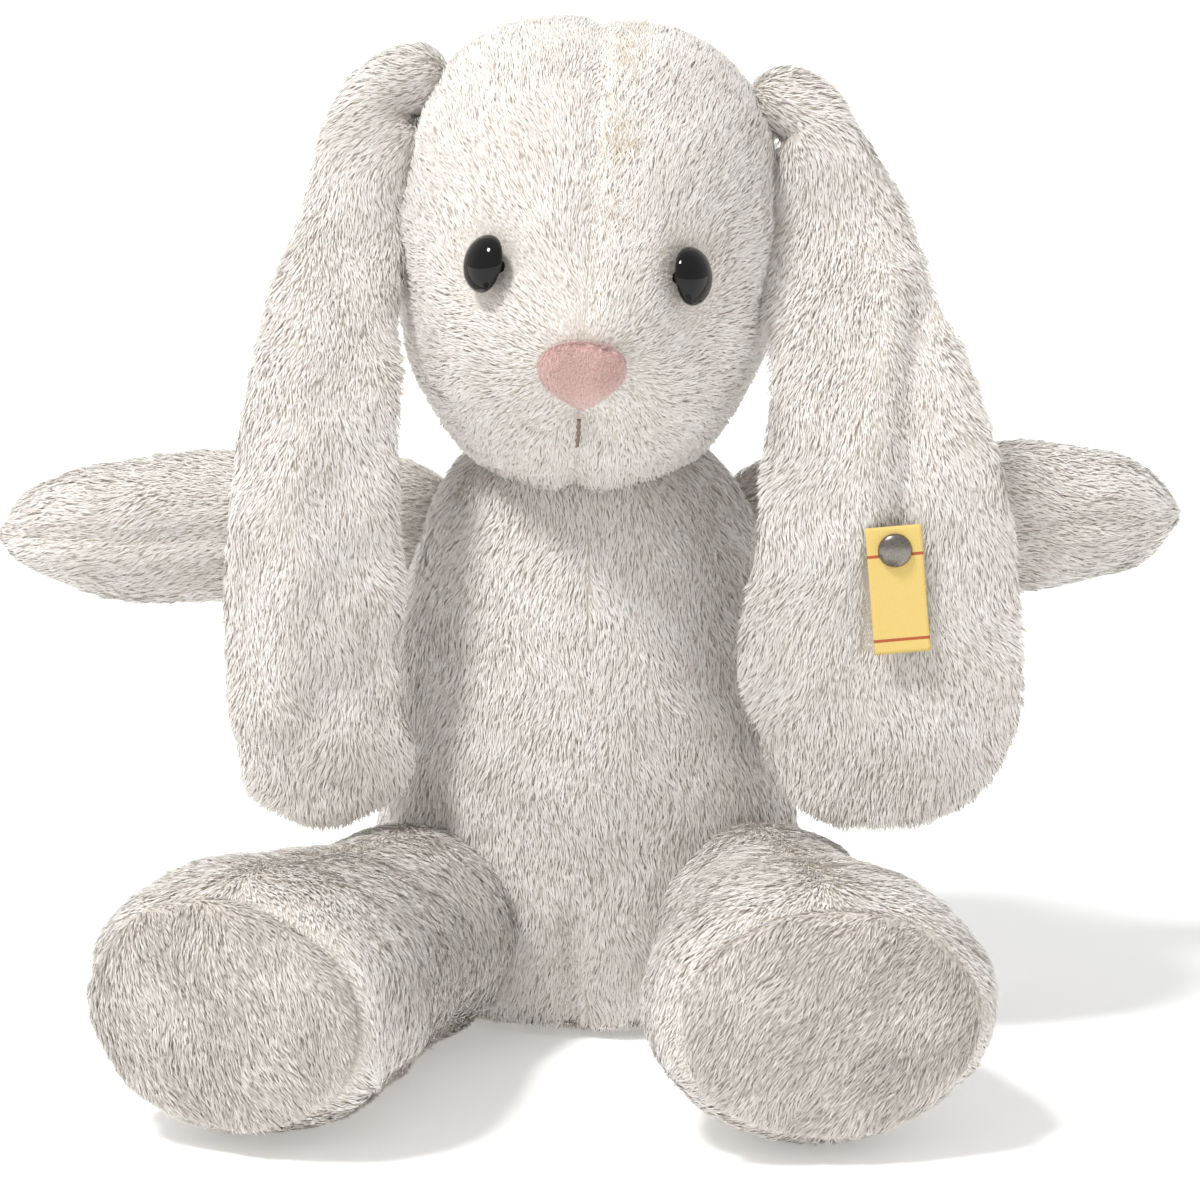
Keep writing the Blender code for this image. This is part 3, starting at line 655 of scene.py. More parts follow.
@dataclass(frozen=True)
class Pile:
    """How a plush's strands are cut and laid.

    Attributes:
        length: Length of a strand.
        width: Width of a strand at its middle.
        density: Strands on a square metre of backing.
        lift: Angle of a strand's root to the backing, in degrees.
        lie: Angle of its tip, in degrees.
        tuft: Size of the tufts that the strands gather into.
        gather: How far the tips close up in a tuft, 0 to 1.
        stray: Share of strands that stand up out of the nap.
    """

    length: float = 3.9 * MM
    width: float = 0.33 * MM
    density: float = 3.6e6
    lift: float = 26.0
    lie: float = 6.0
    tuft: float = 1.3 * MM
    gather: float = 0.16
    stray: float = 0.012


def strand_template() -> tuple[np.ndarray, list[list[int]]]:
    """One strand: a flat blade, widest in its middle and pointed at both ends.

    Returns:
        Its vertices as (side, share of the length), and its faces' vertex indices.
    """
    bm = bmesh.new()
    bmesh.ops.create_grid(bm, x_segments=1, y_segments=2, size=1.0)
    for end in (-1.0, 1.0):
        pair = [vert for vert in bm.verts if vert.co.y * end > 0.5]
        bmesh.ops.pointmerge(bm, verts=pair, merge_co=Vector((0.0, end, 0.0)))
    bm.verts.index_update()
    shape = np.array([(vert.co.x, (vert.co.y + 1.0) / 2.0) for vert in bm.verts])
    faces = [[vert.index for vert in face.verts] for face in bm.faces]
    bm.free()
    return shape, faces


@dataclass(frozen=True)
class Coat:
    """How the pile lies on one cover.

    Attributes:
        nap: Gives each place the way that its strands point.
        seams: Lines where the strands are shorter.
        trim: Gives each place a share of the full length.
        keep: Gives each place the share of strands that grow there.
        shade: Gives each place a shift of its strands' colour: up towards the paler and then the beige
            colours of wear, down towards the darker colours, which paint shade on the soles and by the dart.
        ruffle: Gives each place how far the strands are brushed up, 0 to 1.
    """

    nap: Field
    seams: tuple[Seam, ...] = ()
    trim: Field | None = None
    keep: Field | None = None
    shade: Field | None = None
    ruffle: Field | None = None


class Groomer:
    """Plants strands on covers."""

    level = 0.86  # share of the cover's own normal in a strand's shading

    def __init__(self, pile: Pile) -> None:
        """Set the pile and make its strand."""
        self.pile = pile
        self.shape, self.faces = strand_template()

    def roots(
        self, mesh: bpy.types.Mesh, rng: np.random.Generator
    ) -> tuple[np.ndarray, np.ndarray]:
        """Even random places on a cover, with its normals there.

        Args:
            mesh: The cover's mesh.
            rng: Source of the random places.

        Returns:
            Places and normals, one row each.
        """
        mesh.calc_loop_triangles()
        corners = np.empty(len(mesh.loop_triangles) * 3, np.int32)
        mesh.loop_triangles.foreach_get("vertices", corners)
        corners = corners.reshape(-1, 3)
        points, ways = coordinates(mesh), directions(mesh)
        a, b, c = (points[corners[:, k]] for k in range(3))
        areas = np.linalg.norm(np.cross(b - a, c - a), axis=1) / 2.0
        count = int(areas.sum() * self.pile.density)
        chosen = np.searchsorted(np.cumsum(areas) / areas.sum(), rng.random(count))
        chosen = np.minimum(chosen, len(areas) - 1)
        one, two = np.sqrt(rng.random(count)), rng.random(count)
        shares = np.stack((1.0 - one, one * (1.0 - two), one * two), axis=1)
        spots = np.einsum("nk,nkd->nd", shares, points[corners[chosen]])
        upright = unit(np.einsum("nk,nkd->nd", shares, ways[corners[chosen]]))
        return spots, upright

    def plant(
        self, name: str, skin: bpy.types.Object, coat: Coat, seed: int
    ) -> bpy.types.Object:
        """Pile of one cover as one mesh of flat strands.

        Args:
            name: Name of the new piece.
            skin: The cover that the strands grow from.
            coat: How they lie.
            seed: Which random pattern.

        Returns:
            The pile's object.
        """
        pile = self.pile
        rng = np.random.default_rng(seed)
        spots, upright = self.roots(skin.data, rng)
        if coat.keep is not None:
            kept = rng.random(len(spots)) < coat.keep(spots)
            spots, upright = spots[kept], upright[kept]
        count = len(spots)

        warped = spots + 0.8 * MM * np.stack(
            [ripple(spots, 7.0 * MM, seed + axis) for axis in range(3)], axis=1
        )
        cells = np.floor(warped / pile.tuft).astype(np.int64)
        keys = (cells[:, 0] * 73856093) ^ (cells[:, 1] * 19349663) ^ (cells[:, 2] * 83492791)
        _, tuft = np.unique(keys, return_inverse=True)
        tufts = tuft.max() + 1
        members = np.bincount(tuft, minlength=tufts)[:, None]

        def gathered(values: np.ndarray) -> np.ndarray:
            """Mean of some rows over each strand's tuft."""
            sums = np.stack(
                [np.bincount(tuft, values[:, k], tufts) for k in range(values.shape[1])], axis=1
            )
            return (sums / members)[tuft]

        def scatter(spread: float, tuft_spread: float) -> np.ndarray:
            """Random numbers, part for each strand and part for its tuft."""
            return rng.normal(0.0, spread, count) + rng.normal(0.0, tuft_spread, tufts)[tuft]

        ahead = coat.nap(spots)
        ahead = unit(ahead - upright * np.sum(ahead * upright, axis=1, keepdims=True))
        side = np.cross(ahead, upright)
        swing = np.radians(16.0 * ripple(spots, 26.0 * MM, seed + 5) + scatter(8.0, 6.0))
        ahead, side = (
            ahead * np.cos(swing)[:, None] + side * np.sin(swing)[:, None],
            side * np.cos(swing)[:, None] - ahead * np.sin(swing)[:, None],
        )
        length = pile.length * np.clip(1.0 + scatter(0.16, 0.08), 0.4, 1.35)
        if coat.trim is not None:
            length *= coat.trim(spots)
        for seam in coat.seams:
            length *= 1.0 - (1.0 - seam.pile) * seam.pull(spots)
        raised = np.clip(1.0 + 0.22 * ripple(spots, 11.0 * MM, seed + 9), 0.5, 1.6)
        lift = np.radians(np.clip(pile.lift * raised + scatter(5.0, 4.0), 8.0, 80.0))
        lie = np.radians(np.clip(pile.lie * raised + scatter(5.0, 3.0), -6.0, 60.0))
        if coat.ruffle is not None:
            rough = coat.ruffle(spots) * rng.normal(0.0, 1.0, count)
            lie += np.radians(24.0) * np.abs(rough)
            ahead += side * 0.8 * rough[:, None]
            ahead = unit(ahead)
        stray = rng.random(count) < pile.stray
        lie = np.where(stray, lift + 0.1, lie)

        half = 0.5 * length[:, None]
        way = ahead * np.cos(lift)[:, None] + upright * np.sin(lift)[:, None]
        bent = ahead * np.cos(lie)[:, None] + upright * np.sin(lie)[:, None]
        base = spots - upright * 0.2 * MM
        knee = base + way * half
        tip = knee + bent * half
        knee += 0.4 * pile.gather * (gathered(knee) - knee)
        tip += pile.gather * (gathered(tip) - tip)

        roll = np.radians(rng.normal(0.0, 15.0, count))
        flat = side * np.cos(roll)[:, None] + upright * np.sin(roll)[:, None]
        width = pile.width * np.clip(1.0 + scatter(0.2, 0.0), 0.5, 1.5)
        width = np.where(stray, 0.6, 1.0) * width
        places = np.stack((base, knee, tip), axis=1)
        spans = np.stack((0.8 * width, width, 0.0 * width), axis=1)
        level = np.rint(self.shape[:, 1] * 2.0).astype(int)
        edge = self.shape[:, 0] * 0.5
        verts = places[:, level] + (edge * spans[:, level])[:, :, None] * flat[:, None, :]
        verts[:, :, 2] = np.maximum(verts[:, :, 2], FLOOR_CLEAR)
        face = np.cross(way, flat)
        face *= np.sign(np.sum(face * upright, axis=1, keepdims=True) + 1e-9)
        facing = unit(self.level * upright + (1.0 - self.level) * face)

        tone = 0.50 + scatter(0.08, 0.07) + 0.06 * ripple(spots, 18.0 * MM, seed + 3)
        tone = np.clip(tone, 0.25, 0.73)
        if coat.shade is not None:
            tone = np.clip(tone + coat.shade(spots), 0.02, 0.98)
        return self.strands(name, verts, tone, facing)

    def strands(
        self, name: str, verts: np.ndarray, tone: np.ndarray, facing: np.ndarray
    ) -> bpy.types.Object:
        """Mesh of many strands.

        Args:
            name: Name of the new piece.
            verts: Places of each strand's vertices.
            tone: Shade of each strand, 0 to 1.
            facing: Normal that each strand is shaded with, mostly that of its cover,
                because light passes through and round real fibres.

        Returns:
            The pile's object.
        """
        count, each = len(verts), len(self.shape)
        corners = np.array([index for face in self.faces for index in face])
        sizes = [len(face) for face in self.faces]
        starts = np.concatenate(([0], np.cumsum(sizes)[:-1]))
        row = np.arange(count)[:, None]
        mesh = bpy.data.meshes.new(name)
        mesh.vertices.add(count * each)
        mesh.loops.add(count * len(corners))
        mesh.polygons.add(count * len(sizes))
        mesh.vertices.foreach_set("co", verts.ravel())
        mesh.loops.foreach_set("vertex_index", (row * each + corners).ravel().astype(np.int32))
        begin = (row * len(corners) + starts).ravel().astype(np.int32)
        mesh.polygons.foreach_set("loop_start", begin)
        mesh.update(calc_edges=True)
        shading = mesh.attributes.new("custom_normal", "FLOAT_VECTOR", "POINT")
        shading.data.foreach_set("vector", np.repeat(facing, each, axis=0).ravel().astype(np.float32))
        place = mesh.uv_layers.new(name="OFBake")
        along = self.shape[corners, 1] * 0.96 + 0.02
        across = tone[:, None] + 0.004 * self.shape[corners, 0]
        both = np.stack((across, np.broadcast_to(along, across.shape)), axis=2)
        place.data.foreach_set("uv", both.ravel().astype(np.float32))
        piece = bpy.data.objects.new(name, mesh)
        bpy.context.collection.objects.link(piece)
        return piece


def flow(*way: float) -> Field:
    """Nap that points one way all over."""
    fixed = np.array(way)
    return lambda points: np.broadcast_to(fixed, points.shape)


# ---------------------------------------------------------------- torso and tail


@dataclass
class Torso:
    """Pear-shaped body: cover, pile, filling, tail, care label and closing stitch."""

    shop: Workshop
    groomer: Groomer
    profile: tuple[tuple[float, float, float], ...] = (  # height, half width, half depth
        (0.0012, 0.034, 0.031), (0.0035, 0.0425, 0.0385), (0.010, 0.0485, 0.0435),
        (0.030, 0.0553, 0.0495), (0.060, 0.0560, 0.0505), (0.090, 0.0530, 0.0480),
        (0.118, 0.0475, 0.0430), (0.138, 0.0411, 0.0370), (0.151, 0.0322, 0.0300),
        (0.159, 0.0200, 0.0190), (0.1625, 0.0060, 0.0060),
    )
    segments: int = 72
    seam_y: float = 0.018
    dart_x: float = -0.0041
    dart_top: float = 0.036
    tail_radius: float = 0.0130
    label_size: tuple[float, float] = (0.012, 0.025)
    stitches: int = 16

    def outline(self, height: float) -> tuple[float, float]:
        """Half width and half depth of the cover at a height."""
        rows = np.array(self.profile)
        return tuple(float(np.interp(height, rows[:, 0], rows[:, k])) for k in (1, 2))

    def upright_line(self, low: float, high: float, x: float, back: bool) -> np.ndarray:
        """Line up the front or back at a fixed X."""
        points = []
        for height in np.linspace(low, high, 14):
            wide, deep = self.outline(height)
            reach = deep * math.sqrt(max(0.0, 1.0 - (x / wide) ** 2))
            points.append((x, reach if back else -reach, height))
        return np.array(points)

    def side_line(self, sign: float) -> np.ndarray:
        """Side seam, a little behind the middle."""
        points = []
        for height in np.linspace(0.002, 0.150, 16):
            wide, deep = self.outline(height)
            share = min(1.0, self.seam_y / deep)
            points.append((sign * wide * math.sqrt(1.0 - share ** 2), self.seam_y, height))
        return np.array(points)

    def build(self) -> None:
        """Make and dress every piece of the torso."""
        keys = [(Z * height, X, Y, wide, deep) for height, wide, deep in self.profile]
        skin = piece_of("torso_cover", loft(eased(keys, 7), self.segments))
        dart = Seam(self.upright_line(0.004, self.dart_top, self.dart_x, False), 2.2 * MM, 3.2 * MM, 0.6)
        centre = Seam(self.upright_line(0.004, 0.150, 0.0, True), 1.3 * MM, 2.6 * MM, 0.55)
        seams = [dart, centre] + [Seam(self.side_line(sign)) for sign in SIDES.values()]
        sculpt(skin, seams, 0.55 * MM, 34.0 * MM, 11)
        fill = inner_copy("torso_stuffing", skin, 3.4 * MM, 12)

        def nap(points: np.ndarray) -> np.ndarray:
            """Down the body, a little backwards, and outwards under the seat."""
            way = np.zeros_like(points)
            way[:, 1] = 0.15
            way[:, 2] = -1.0
            low = points[:, 2] < 0.004
            way[low, :2] += 2.0 * unit(points[low] * (1.0, 1.0, 0.0))[:, :2]
            return way

        def shade(points: np.ndarray) -> np.ndarray:
            """Painted shade: strands within 6 mm of the dart are a little darker and warmer."""
            wear_and_seam_shade = line_distance(points, dart.line) < 6.0 * MM
            return -0.06 * wear_and_seam_shade

        def quarter(sign: float, behind: bool) -> Field:
            """Strands on one quarter, thinned under the seat."""
            def keep(points: np.ndarray) -> np.ndarray:
                """Share of the strands that grow."""
                share = np.where(points[:, 2] < 0.0025, 0.15, 1.0)
                return share * (points[:, 0] * sign >= 0.0) * ((points[:, 1] >= self.seam_y) == behind)
            return keep

        for index, (side, sign) in enumerate(SIDES.items()):
            for part, behind in (("front", False), ("back", True)):
                coat = Coat(nap, tuple(seams), keep=quarter(sign, behind), shade=shade)
                name = f"torso_{part}_{side}_pile"
                fur = self.groomer.plant(name, skin, coat, 21 + 40 * index + 20 * behind)
                self.shop.add(fur, Look.PILE, "torso")
        self.shop.add(skin, Look.KNIT, "torso", "torso_front_cover", "torso_back_cover")
        self.shop.add(fill, Look.FILLING, "torso", "torso_filling")
        self.tail()
        self.closing_stitch()
        self.care_label()

    def tail(self) -> None:
        """Round puff of a tail with its filling."""
        centre = middle("tail_cover")
        bm = bmesh.new()
        bmesh.ops.create_uvsphere(bm, u_segments=48, v_segments=28, radius=self.tail_radius)
        bm.transform(Matrix.Translation(centre))
        skin = piece_of("tail_puff", bm)
        sculpt(skin, [], 0.4 * MM, 12.0 * MM, 13)
        fill = inner_copy("tail_stuffing", skin, 3.2 * MM, 14)
        fur = self.groomer.plant("tail_pile", skin, Coat(flow(0.0, 0.5, -1.0)), 23)
        self.shop.add(fur, Look.PILE, "torso")
        self.shop.add(skin, Look.KNIT, "torso", "tail_cover")
        self.shop.add(fill, Look.FILLING, "torso", "tail_filling")

    def closing_stitch(self) -> None:
        """Ladder stitch up the back: short round stitches across the seam."""
        low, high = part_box("closing_stitch")
        bm = bmesh.new()
        for share in (np.arange(self.stitches) + 0.5) / self.stitches:
            height = low.z + (high.z - low.z) * share
            deep = self.outline(height)[1] - 0.2 * MM
            centre = Vector((0.0, deep, height))
            slant = (X + Z * 0.25).normalized()
            keys = []
            for along, out, radius in ((-1.0, -0.7, 0.15), (-0.8, 0.1, 0.3), (0.0, 0.5, 0.32),
                                       (0.8, 0.1, 0.3), (1.0, -0.7, 0.15)):
                spot = centre + slant * along * 1.4 * MM + Y * out * MM
                keys.append((spot, Y, Z, radius * MM, radius * MM))
            stitch = loft(eased(keys, 3), 10)
            spare = bpy.data.meshes.new("stitch")
            stitch.to_mesh(spare)
            stitch.free()
            bm.from_mesh(spare)
            bpy.data.meshes.remove(spare)
        piece = piece_of("closing_ladder_stitch", bm)
        self.shop.add(piece, Look.THREAD, "torso", "closing_stitch")

    def care_label(self) -> None:
        """Small satin tape sewn in the back, hanging with a slight curl."""
        low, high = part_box("care_label")
        centre = (low + high) / 2.0
        width, length = self.label_size
        out = Vector((centre.x / 0.0585 ** 2, centre.y / 0.053 ** 2, 0.0)).normalized()
        place = frame_at(Vector((centre.x, centre.y, high.z)) + out * 0.8 * MM, out)
        piece = ribbon("satin_care_label", (width, length), 0.35 * MM, place, 1.6 * MM, 0.4 * MM)
        self.shop.add(piece, Look.TAPE, "torso", "care_label")


def ribbon(
    name: str, size: tuple[float, float], thickness: float, place: Matrix, curl: float, sway: float
) -> bpy.types.Object:
    """Short ribbon that hangs from its top edge, with its own map in metres.

    Args:
        name: Name of the new piece.
        size: Width and length.
        thickness: Thickness of the cloth.
        place: Frame of the top edge's middle, Z out of the face and Y up.
        curl: How far the loose end stands off.
        sway: Depth of the shallow wave along it.

    Returns:
        The ribbon's object.
    """
    width, length = size
    bm = bmesh.new()
    bmesh.ops.create_grid(bm, x_segments=16, y_segments=36, size=0.5)
    layer = bm.loops.layers.uv.new("Ribbon")
    for vert in bm.verts:
        vert.co = Vector((vert.co.x * width, (vert.co.y - 0.5) * length, 0.0))
    for face in bm.faces:
        for loop in face.loops:
            loop[layer].uv = (loop.vert.co.x, -loop.vert.co.y)
    for vert in bm.verts:
        down, across = -vert.co.y / length, vert.co.x / width
        bend = curl * down ** 2 + sway * math.sin(down * math.tau)
        vert.co.z = bend + sway * (across * 2.0) ** 2 * down
    bmesh.ops.recalc_face_normals(bm, faces=bm.faces)
    bmesh.ops.solidify(bm, geom=bm.faces[:], thickness=thickness)
    bmesh.ops.recalc_face_normals(bm, faces=bm.faces)
    bm.transform(place)
    return piece_of(name, bm)


# ---------------------------------------------------------------- head


@dataclass
class Head:
    """Wide egg of a head with a blunt muzzle, eyes, nose and mouth."""

    shop: Workshop
    groomer: Groomer
    half: tuple[float, float, float] = (0.052, 0.056, 0.0655)
    crown_fullness: float = 2.8
    jaw_fullness: float = 2.04
    rise: float = 0.0780
    forward: float = 0.010
    tilt: float = 3.5
    muzzle_reach: float = 0.016
    muzzle_low: float = 0.42
    muzzle_spread: float = 0.5
    eye_side: float = 0.505
    eye_up: float = 0.06
    eye_radius: float = 0.0075
    eye_height: float = 0.0050
    eye_sunk: float = 0.0016
    eye_turn: float = 24.0  # the buttons face further outwards than the face does
    nose_up: float = -0.32
    nose_half: tuple[float, float, float] = (0.0136, 0.0088, 0.0042)
    nose_taper: float = 0.42
    mouth_from: float = -0.53
    mouth_to: float = -0.66

    def __post_init__(self) -> None:
        """Place the head on the neck, tilted to the rabbit's left."""
        centre = pivot("neck_turn") + Z * self.rise - Y * self.forward
        tilt = Matrix.Rotation(math.radians(self.tilt), 4, "Y")
        self.pose = Matrix.Translation(centre) @ tilt

    def point(self, way: Vector, inset: float = 0.0) -> Vector:
        """Point of the upright head's skin, from its centre, in a unit direction."""
        low = math.exp(-(((way.z + self.muzzle_low) / self.muzzle_spread) ** 2))
        muzzle = self.muzzle_reach * max(0.0, -way.y) ** 3 * low
        power = self.crown_fullness if way.z > 0.0 else self.jaw_fullness
        flat = abs(way.x) ** power + abs(way.z) ** power
        full = (flat ** (2.0 / power) + way.y ** 2) ** -0.5
        wide, deep, high = (full * (size - inset) for size in self.half)
        return Vector((wide * way.x, deep * way.y - muzzle, high * way.z))

    def place(self, side: float, up: float, inset: float = 0.0) -> tuple[Vector, Vector]:
        """World point and outward normal of the face.

        Args:
            side: Sideways share of the direction from the head's centre.
            up: Upward share of the direction.
            inset: How far inside the model's skin the face lies.

        Returns:
            The point and the normal.
        """
        small = 0.01

        def spot(a: float, b: float) -> Vector:
            """Point of the face in one direction."""
            return self.point(Vector((a, -math.sqrt(max(0.0, 1.0 - a * a - b * b)), b)), inset)

        here = spot(side, up)
        normal = (spot(side + small, up) - here).cross(spot(side, up + small) - here)
        return self.pose @ here, self.pose.to_3x3() @ normal.normalized()

    def face_line(self, steps: list[tuple[float, float]]) -> np.ndarray:
        """Line over the face through (side, up) shares, on the knit cover."""
        return np.array([self.place(side, up, PILE_DEPTH)[0] for side, up in steps])

    def middle_line(self, start: float, end: float) -> np.ndarray:
        """Centre seam, as angles over the top from the face in degrees."""
        points = []
        for angle in np.radians(np.linspace(start, end, 30)):
            way = Vector((0.0, -math.cos(angle), math.sin(angle)))
            points.append(self.pose @ self.point(way, PILE_DEPTH))
        return np.array(points)

    def build(self) -> None:
        """Make and dress every piece of the head."""
        bm = bmesh.new()
        bmesh.ops.create_uvsphere(bm, u_segments=96, v_segments=64, radius=1.0)
        for vert in bm.verts:
            vert.co = self.point(vert.co.normalized(), PILE_DEPTH)
        bm.transform(self.pose)
        skin = piece_of("head_cover", bm)
        crown = Seam(self.middle_line(-16.0, 235.0), 1.0 * MM, 2.6 * MM, 0.6)
        chin = Seam(self.middle_line(-75.0, -31.0), 1.8 * MM, 2.6 * MM, 0.4)
        seams = [crown, chin]
        for sign in SIDES.values():
            socket = self.face_line([(sign * 0.50, 0.05), (sign * 0.53, -0.02)])
            seams.append(Seam(socket, 2.0 * MM, 8.0 * MM, 0.6))
            smile = self.face_line([(sign * 0.02, -0.55), (sign * 0.10, -0.60), (sign * 0.2, -0.58)])
            seams.append(Seam(smile, 1.3 * MM, 3.5 * MM, 0.7))
        sculpt(skin, seams, 0.5 * MM, 30.0 * MM, 31)
        fill = inner_copy("head_stuffing", skin, 3.4 * MM, 32)

        inverse = np.array(self.pose.inverted())
        nose = np.array(self.place(0.0, self.nose_up, PILE_DEPTH)[0])
        eyes = [np.array(self.place(s * self.eye_side, self.eye_up)[0]) for s in SIDES.values()]

        def local(points: np.ndarray) -> np.ndarray:
            """Places from the head's own centre, upright."""
            return points @ inverse[:3, :3].T + inverse[:3, 3]

        def nap(points: np.ndarray) -> np.ndarray:
            """Away from the nose over the face, and down the back of the head."""
            here = local(points)
            back = np.clip((here[:, 1:2] + 0.005) / 0.04, 0.0, 1.0)
            low = np.clip((-here[:, 2:3] - 0.02) / 0.03, 0.0, 1.0)
            away = unit(points - nose)
            away[:, 2] -= 0.35 * low[:, 0]
            return away * (1.0 - back) + np.array((0.0, 0.2, -1.0)) * back

        def trim(points: np.ndarray) -> np.ndarray:
            """Shorter round the eyes and on the muzzle."""
            share = np.ones(len(points))
            for eye in eyes:
                gap = np.linalg.norm(points - eye, axis=1)
                share = np.minimum(share, np.clip((gap - 0.004) / 0.012, 0.42, 1.0))
            gap = np.linalg.norm(points - nose, axis=1)
            return share * np.clip(0.5 + (gap - 0.008) / 0.035, 0.5, 1.0)

        def shade(points: np.ndarray) -> np.ndarray:
            """Ruffled strip of wear beside the centre seam, on the rabbit's left."""
            here = local(points)
            strip = np.exp(-(((here[:, 0] - 0.006) / 0.0075) ** 2))
            strip *= (here[:, 1] < 0.0) * np.clip((here[:, 2] - 0.002) / 0.012, 0.0, 1.0)
            patch = np.clip(0.72 + 0.2 * ripple(points, 14.0 * MM, 77), 0.0, 1.0)
            return strip * patch

        def wear_and_seam_shade(points: np.ndarray) -> np.ndarray:
            """Shift towards the beige shades of wear on the ruffled strip."""
            return 0.34 * shade(points)

        def sided(sign: float) -> Field:
            """Strands on one side, without those behind the eye and nose."""
            def keep(points: np.ndarray) -> np.ndarray:
                """Share of the strands that grow."""
                share = (local(points)[:, 0] * sign >= 0.0).astype(float)
                for eye in eyes:
                    share *= np.linalg.norm(points - eye, axis=1) > self.eye_radius * 0.62
                share *= np.linalg.norm(points - nose, axis=1) > 0.0062
                return share
            return keep

        for index, (side, sign) in enumerate(SIDES.items()):
            coat = Coat(nap, tuple(seams), trim, sided(sign), wear_and_seam_shade, shade)
            fur = self.groomer.plant(f"head_{side}_pile", skin, coat, 33 + index)
            self.shop.add(fur, Look.PILE, "head")
        self.shop.add(skin, Look.KNIT, "head", "head_left_cover", "head_right_cover")
        self.shop.add(fill, Look.FILLING, "head", "head_filling")
        for side, sign in SIDES.items():
            self.eye(side, sign)
            self.shop.repaint(f"eye_washer_{side}", Look.PLASTIC)
        self.nose()
        self.mouth()

    def eye(self, side: str, sign: float) -> None:
        """Domed button with a rounded rim and a stem."""
        point, normal = self.place(sign * self.eye_side, self.eye_up)
        outwards = Matrix.Rotation(math.radians(sign * self.eye_turn), 3, self.pose.to_3x3() @ Z)
        normal = outwards @ normal
        place = frame_at(point - normal * self.eye_sunk, normal)
        radius, stem = self.eye_radius, 0.0016
        profile = [(0.0, -0.0072), (0.8 * stem, -0.0071), (stem, -0.0066), (stem, 0.0)]
        profile += [(0.90 * radius, 0.0002), (0.975 * radius, 0.0005)]
        for step in range(15):
            angle = math.radians(90.0) * step / 14.0
            profile.append((radius * math.cos(angle), 0.0011 + self.eye_height * math.sin(angle)))
        piece = piece_of(f"eye_button_{side}", turned(profile, place, 56))
        piece.data.set_sharp_from_angle(angle=math.radians(50.0))
        self.shop.add(piece, Look.EYE, "head", f"eye_{side}")

    def nose(self) -> None:
        """Padded velour triangle with round corners and its short pile."""
        wide, high, proud = self.nose_half
        keys = []
        for height, share in ((-0.8, 0.86), (-0.2, 0.97), (0.25, 0.98), (0.6, 0.86), (0.88, 0.6),
                              (1.0, 0.3), (1.03, 0.08)):
            keys.append((Z * height * proud, X, Y, share * wide, share * high))
        bm = loft(eased(keys, 4), 48)
        for vert in bm.verts:
            rise = vert.co.y / high
            vert.co.x *= 1.0 + self.nose_taper * (rise - 1.0) / 2.0
            vert.co.x *= 1.0 - 0.34 * max(0.0, -rise) ** 1.5 + 0.14 * max(0.0, rise) ** 2
            vert.co.z *= 1.0 + 0.35 * math.exp(-((rise + 0.15) / 0.6) ** 2)
        bm.transform(frame_at(*self.place(0.0, self.nose_up)))
        skin = piece_of("nose_velour_pad", bm)
        pile = Pile(1.0 * MM, 0.16 * MM, 1.6e7, 55.0, 35.0, 0.9 * MM, 0.2, 0.0)
        velour = Groomer(pile).plant("nose_velour_nap", skin, Coat(flow(0.1, 0.0, -1.0)), 41)
        self.shop.add(velour, Look.VELOUR_PILE, "head")
        self.shop.add(skin, Look.VELOUR, "head", "nose_pad")

    def mouth(self) -> None:
        """Twisted thread drawn into the seam below the nose."""
        spots = [self.place(0.0, up, 1.6 * MM) for up in np.linspace(self.mouth_from, self.mouth_to, 12)]
        bm = bmesh.new()
        for ply in (0.0, math.pi):
            keys = []
            for index, (point, normal) in enumerate(spots):
                turn = index * 1.1 + ply
                side = self.pose.to_3x3() @ X
                shift = (side * math.cos(turn) + normal * math.sin(turn)) * 0.28 * MM
                keys.append((point + shift, side, normal, 0.34 * MM, 0.34 * MM))
            strand = loft(eased(keys, 4), 10)
            spare = bpy.data.meshes.new("ply")
            strand.to_mesh(spare)
            strand.free()
            bm.from_mesh(spare)
            bpy.data.meshes.remove(spare)
        piece = piece_of("mouth_twisted_thread", bm)
        self.shop.add(piece, Look.THREAD, "head", "mouth_stitch")


# ---------------------------------------------------------------- ears


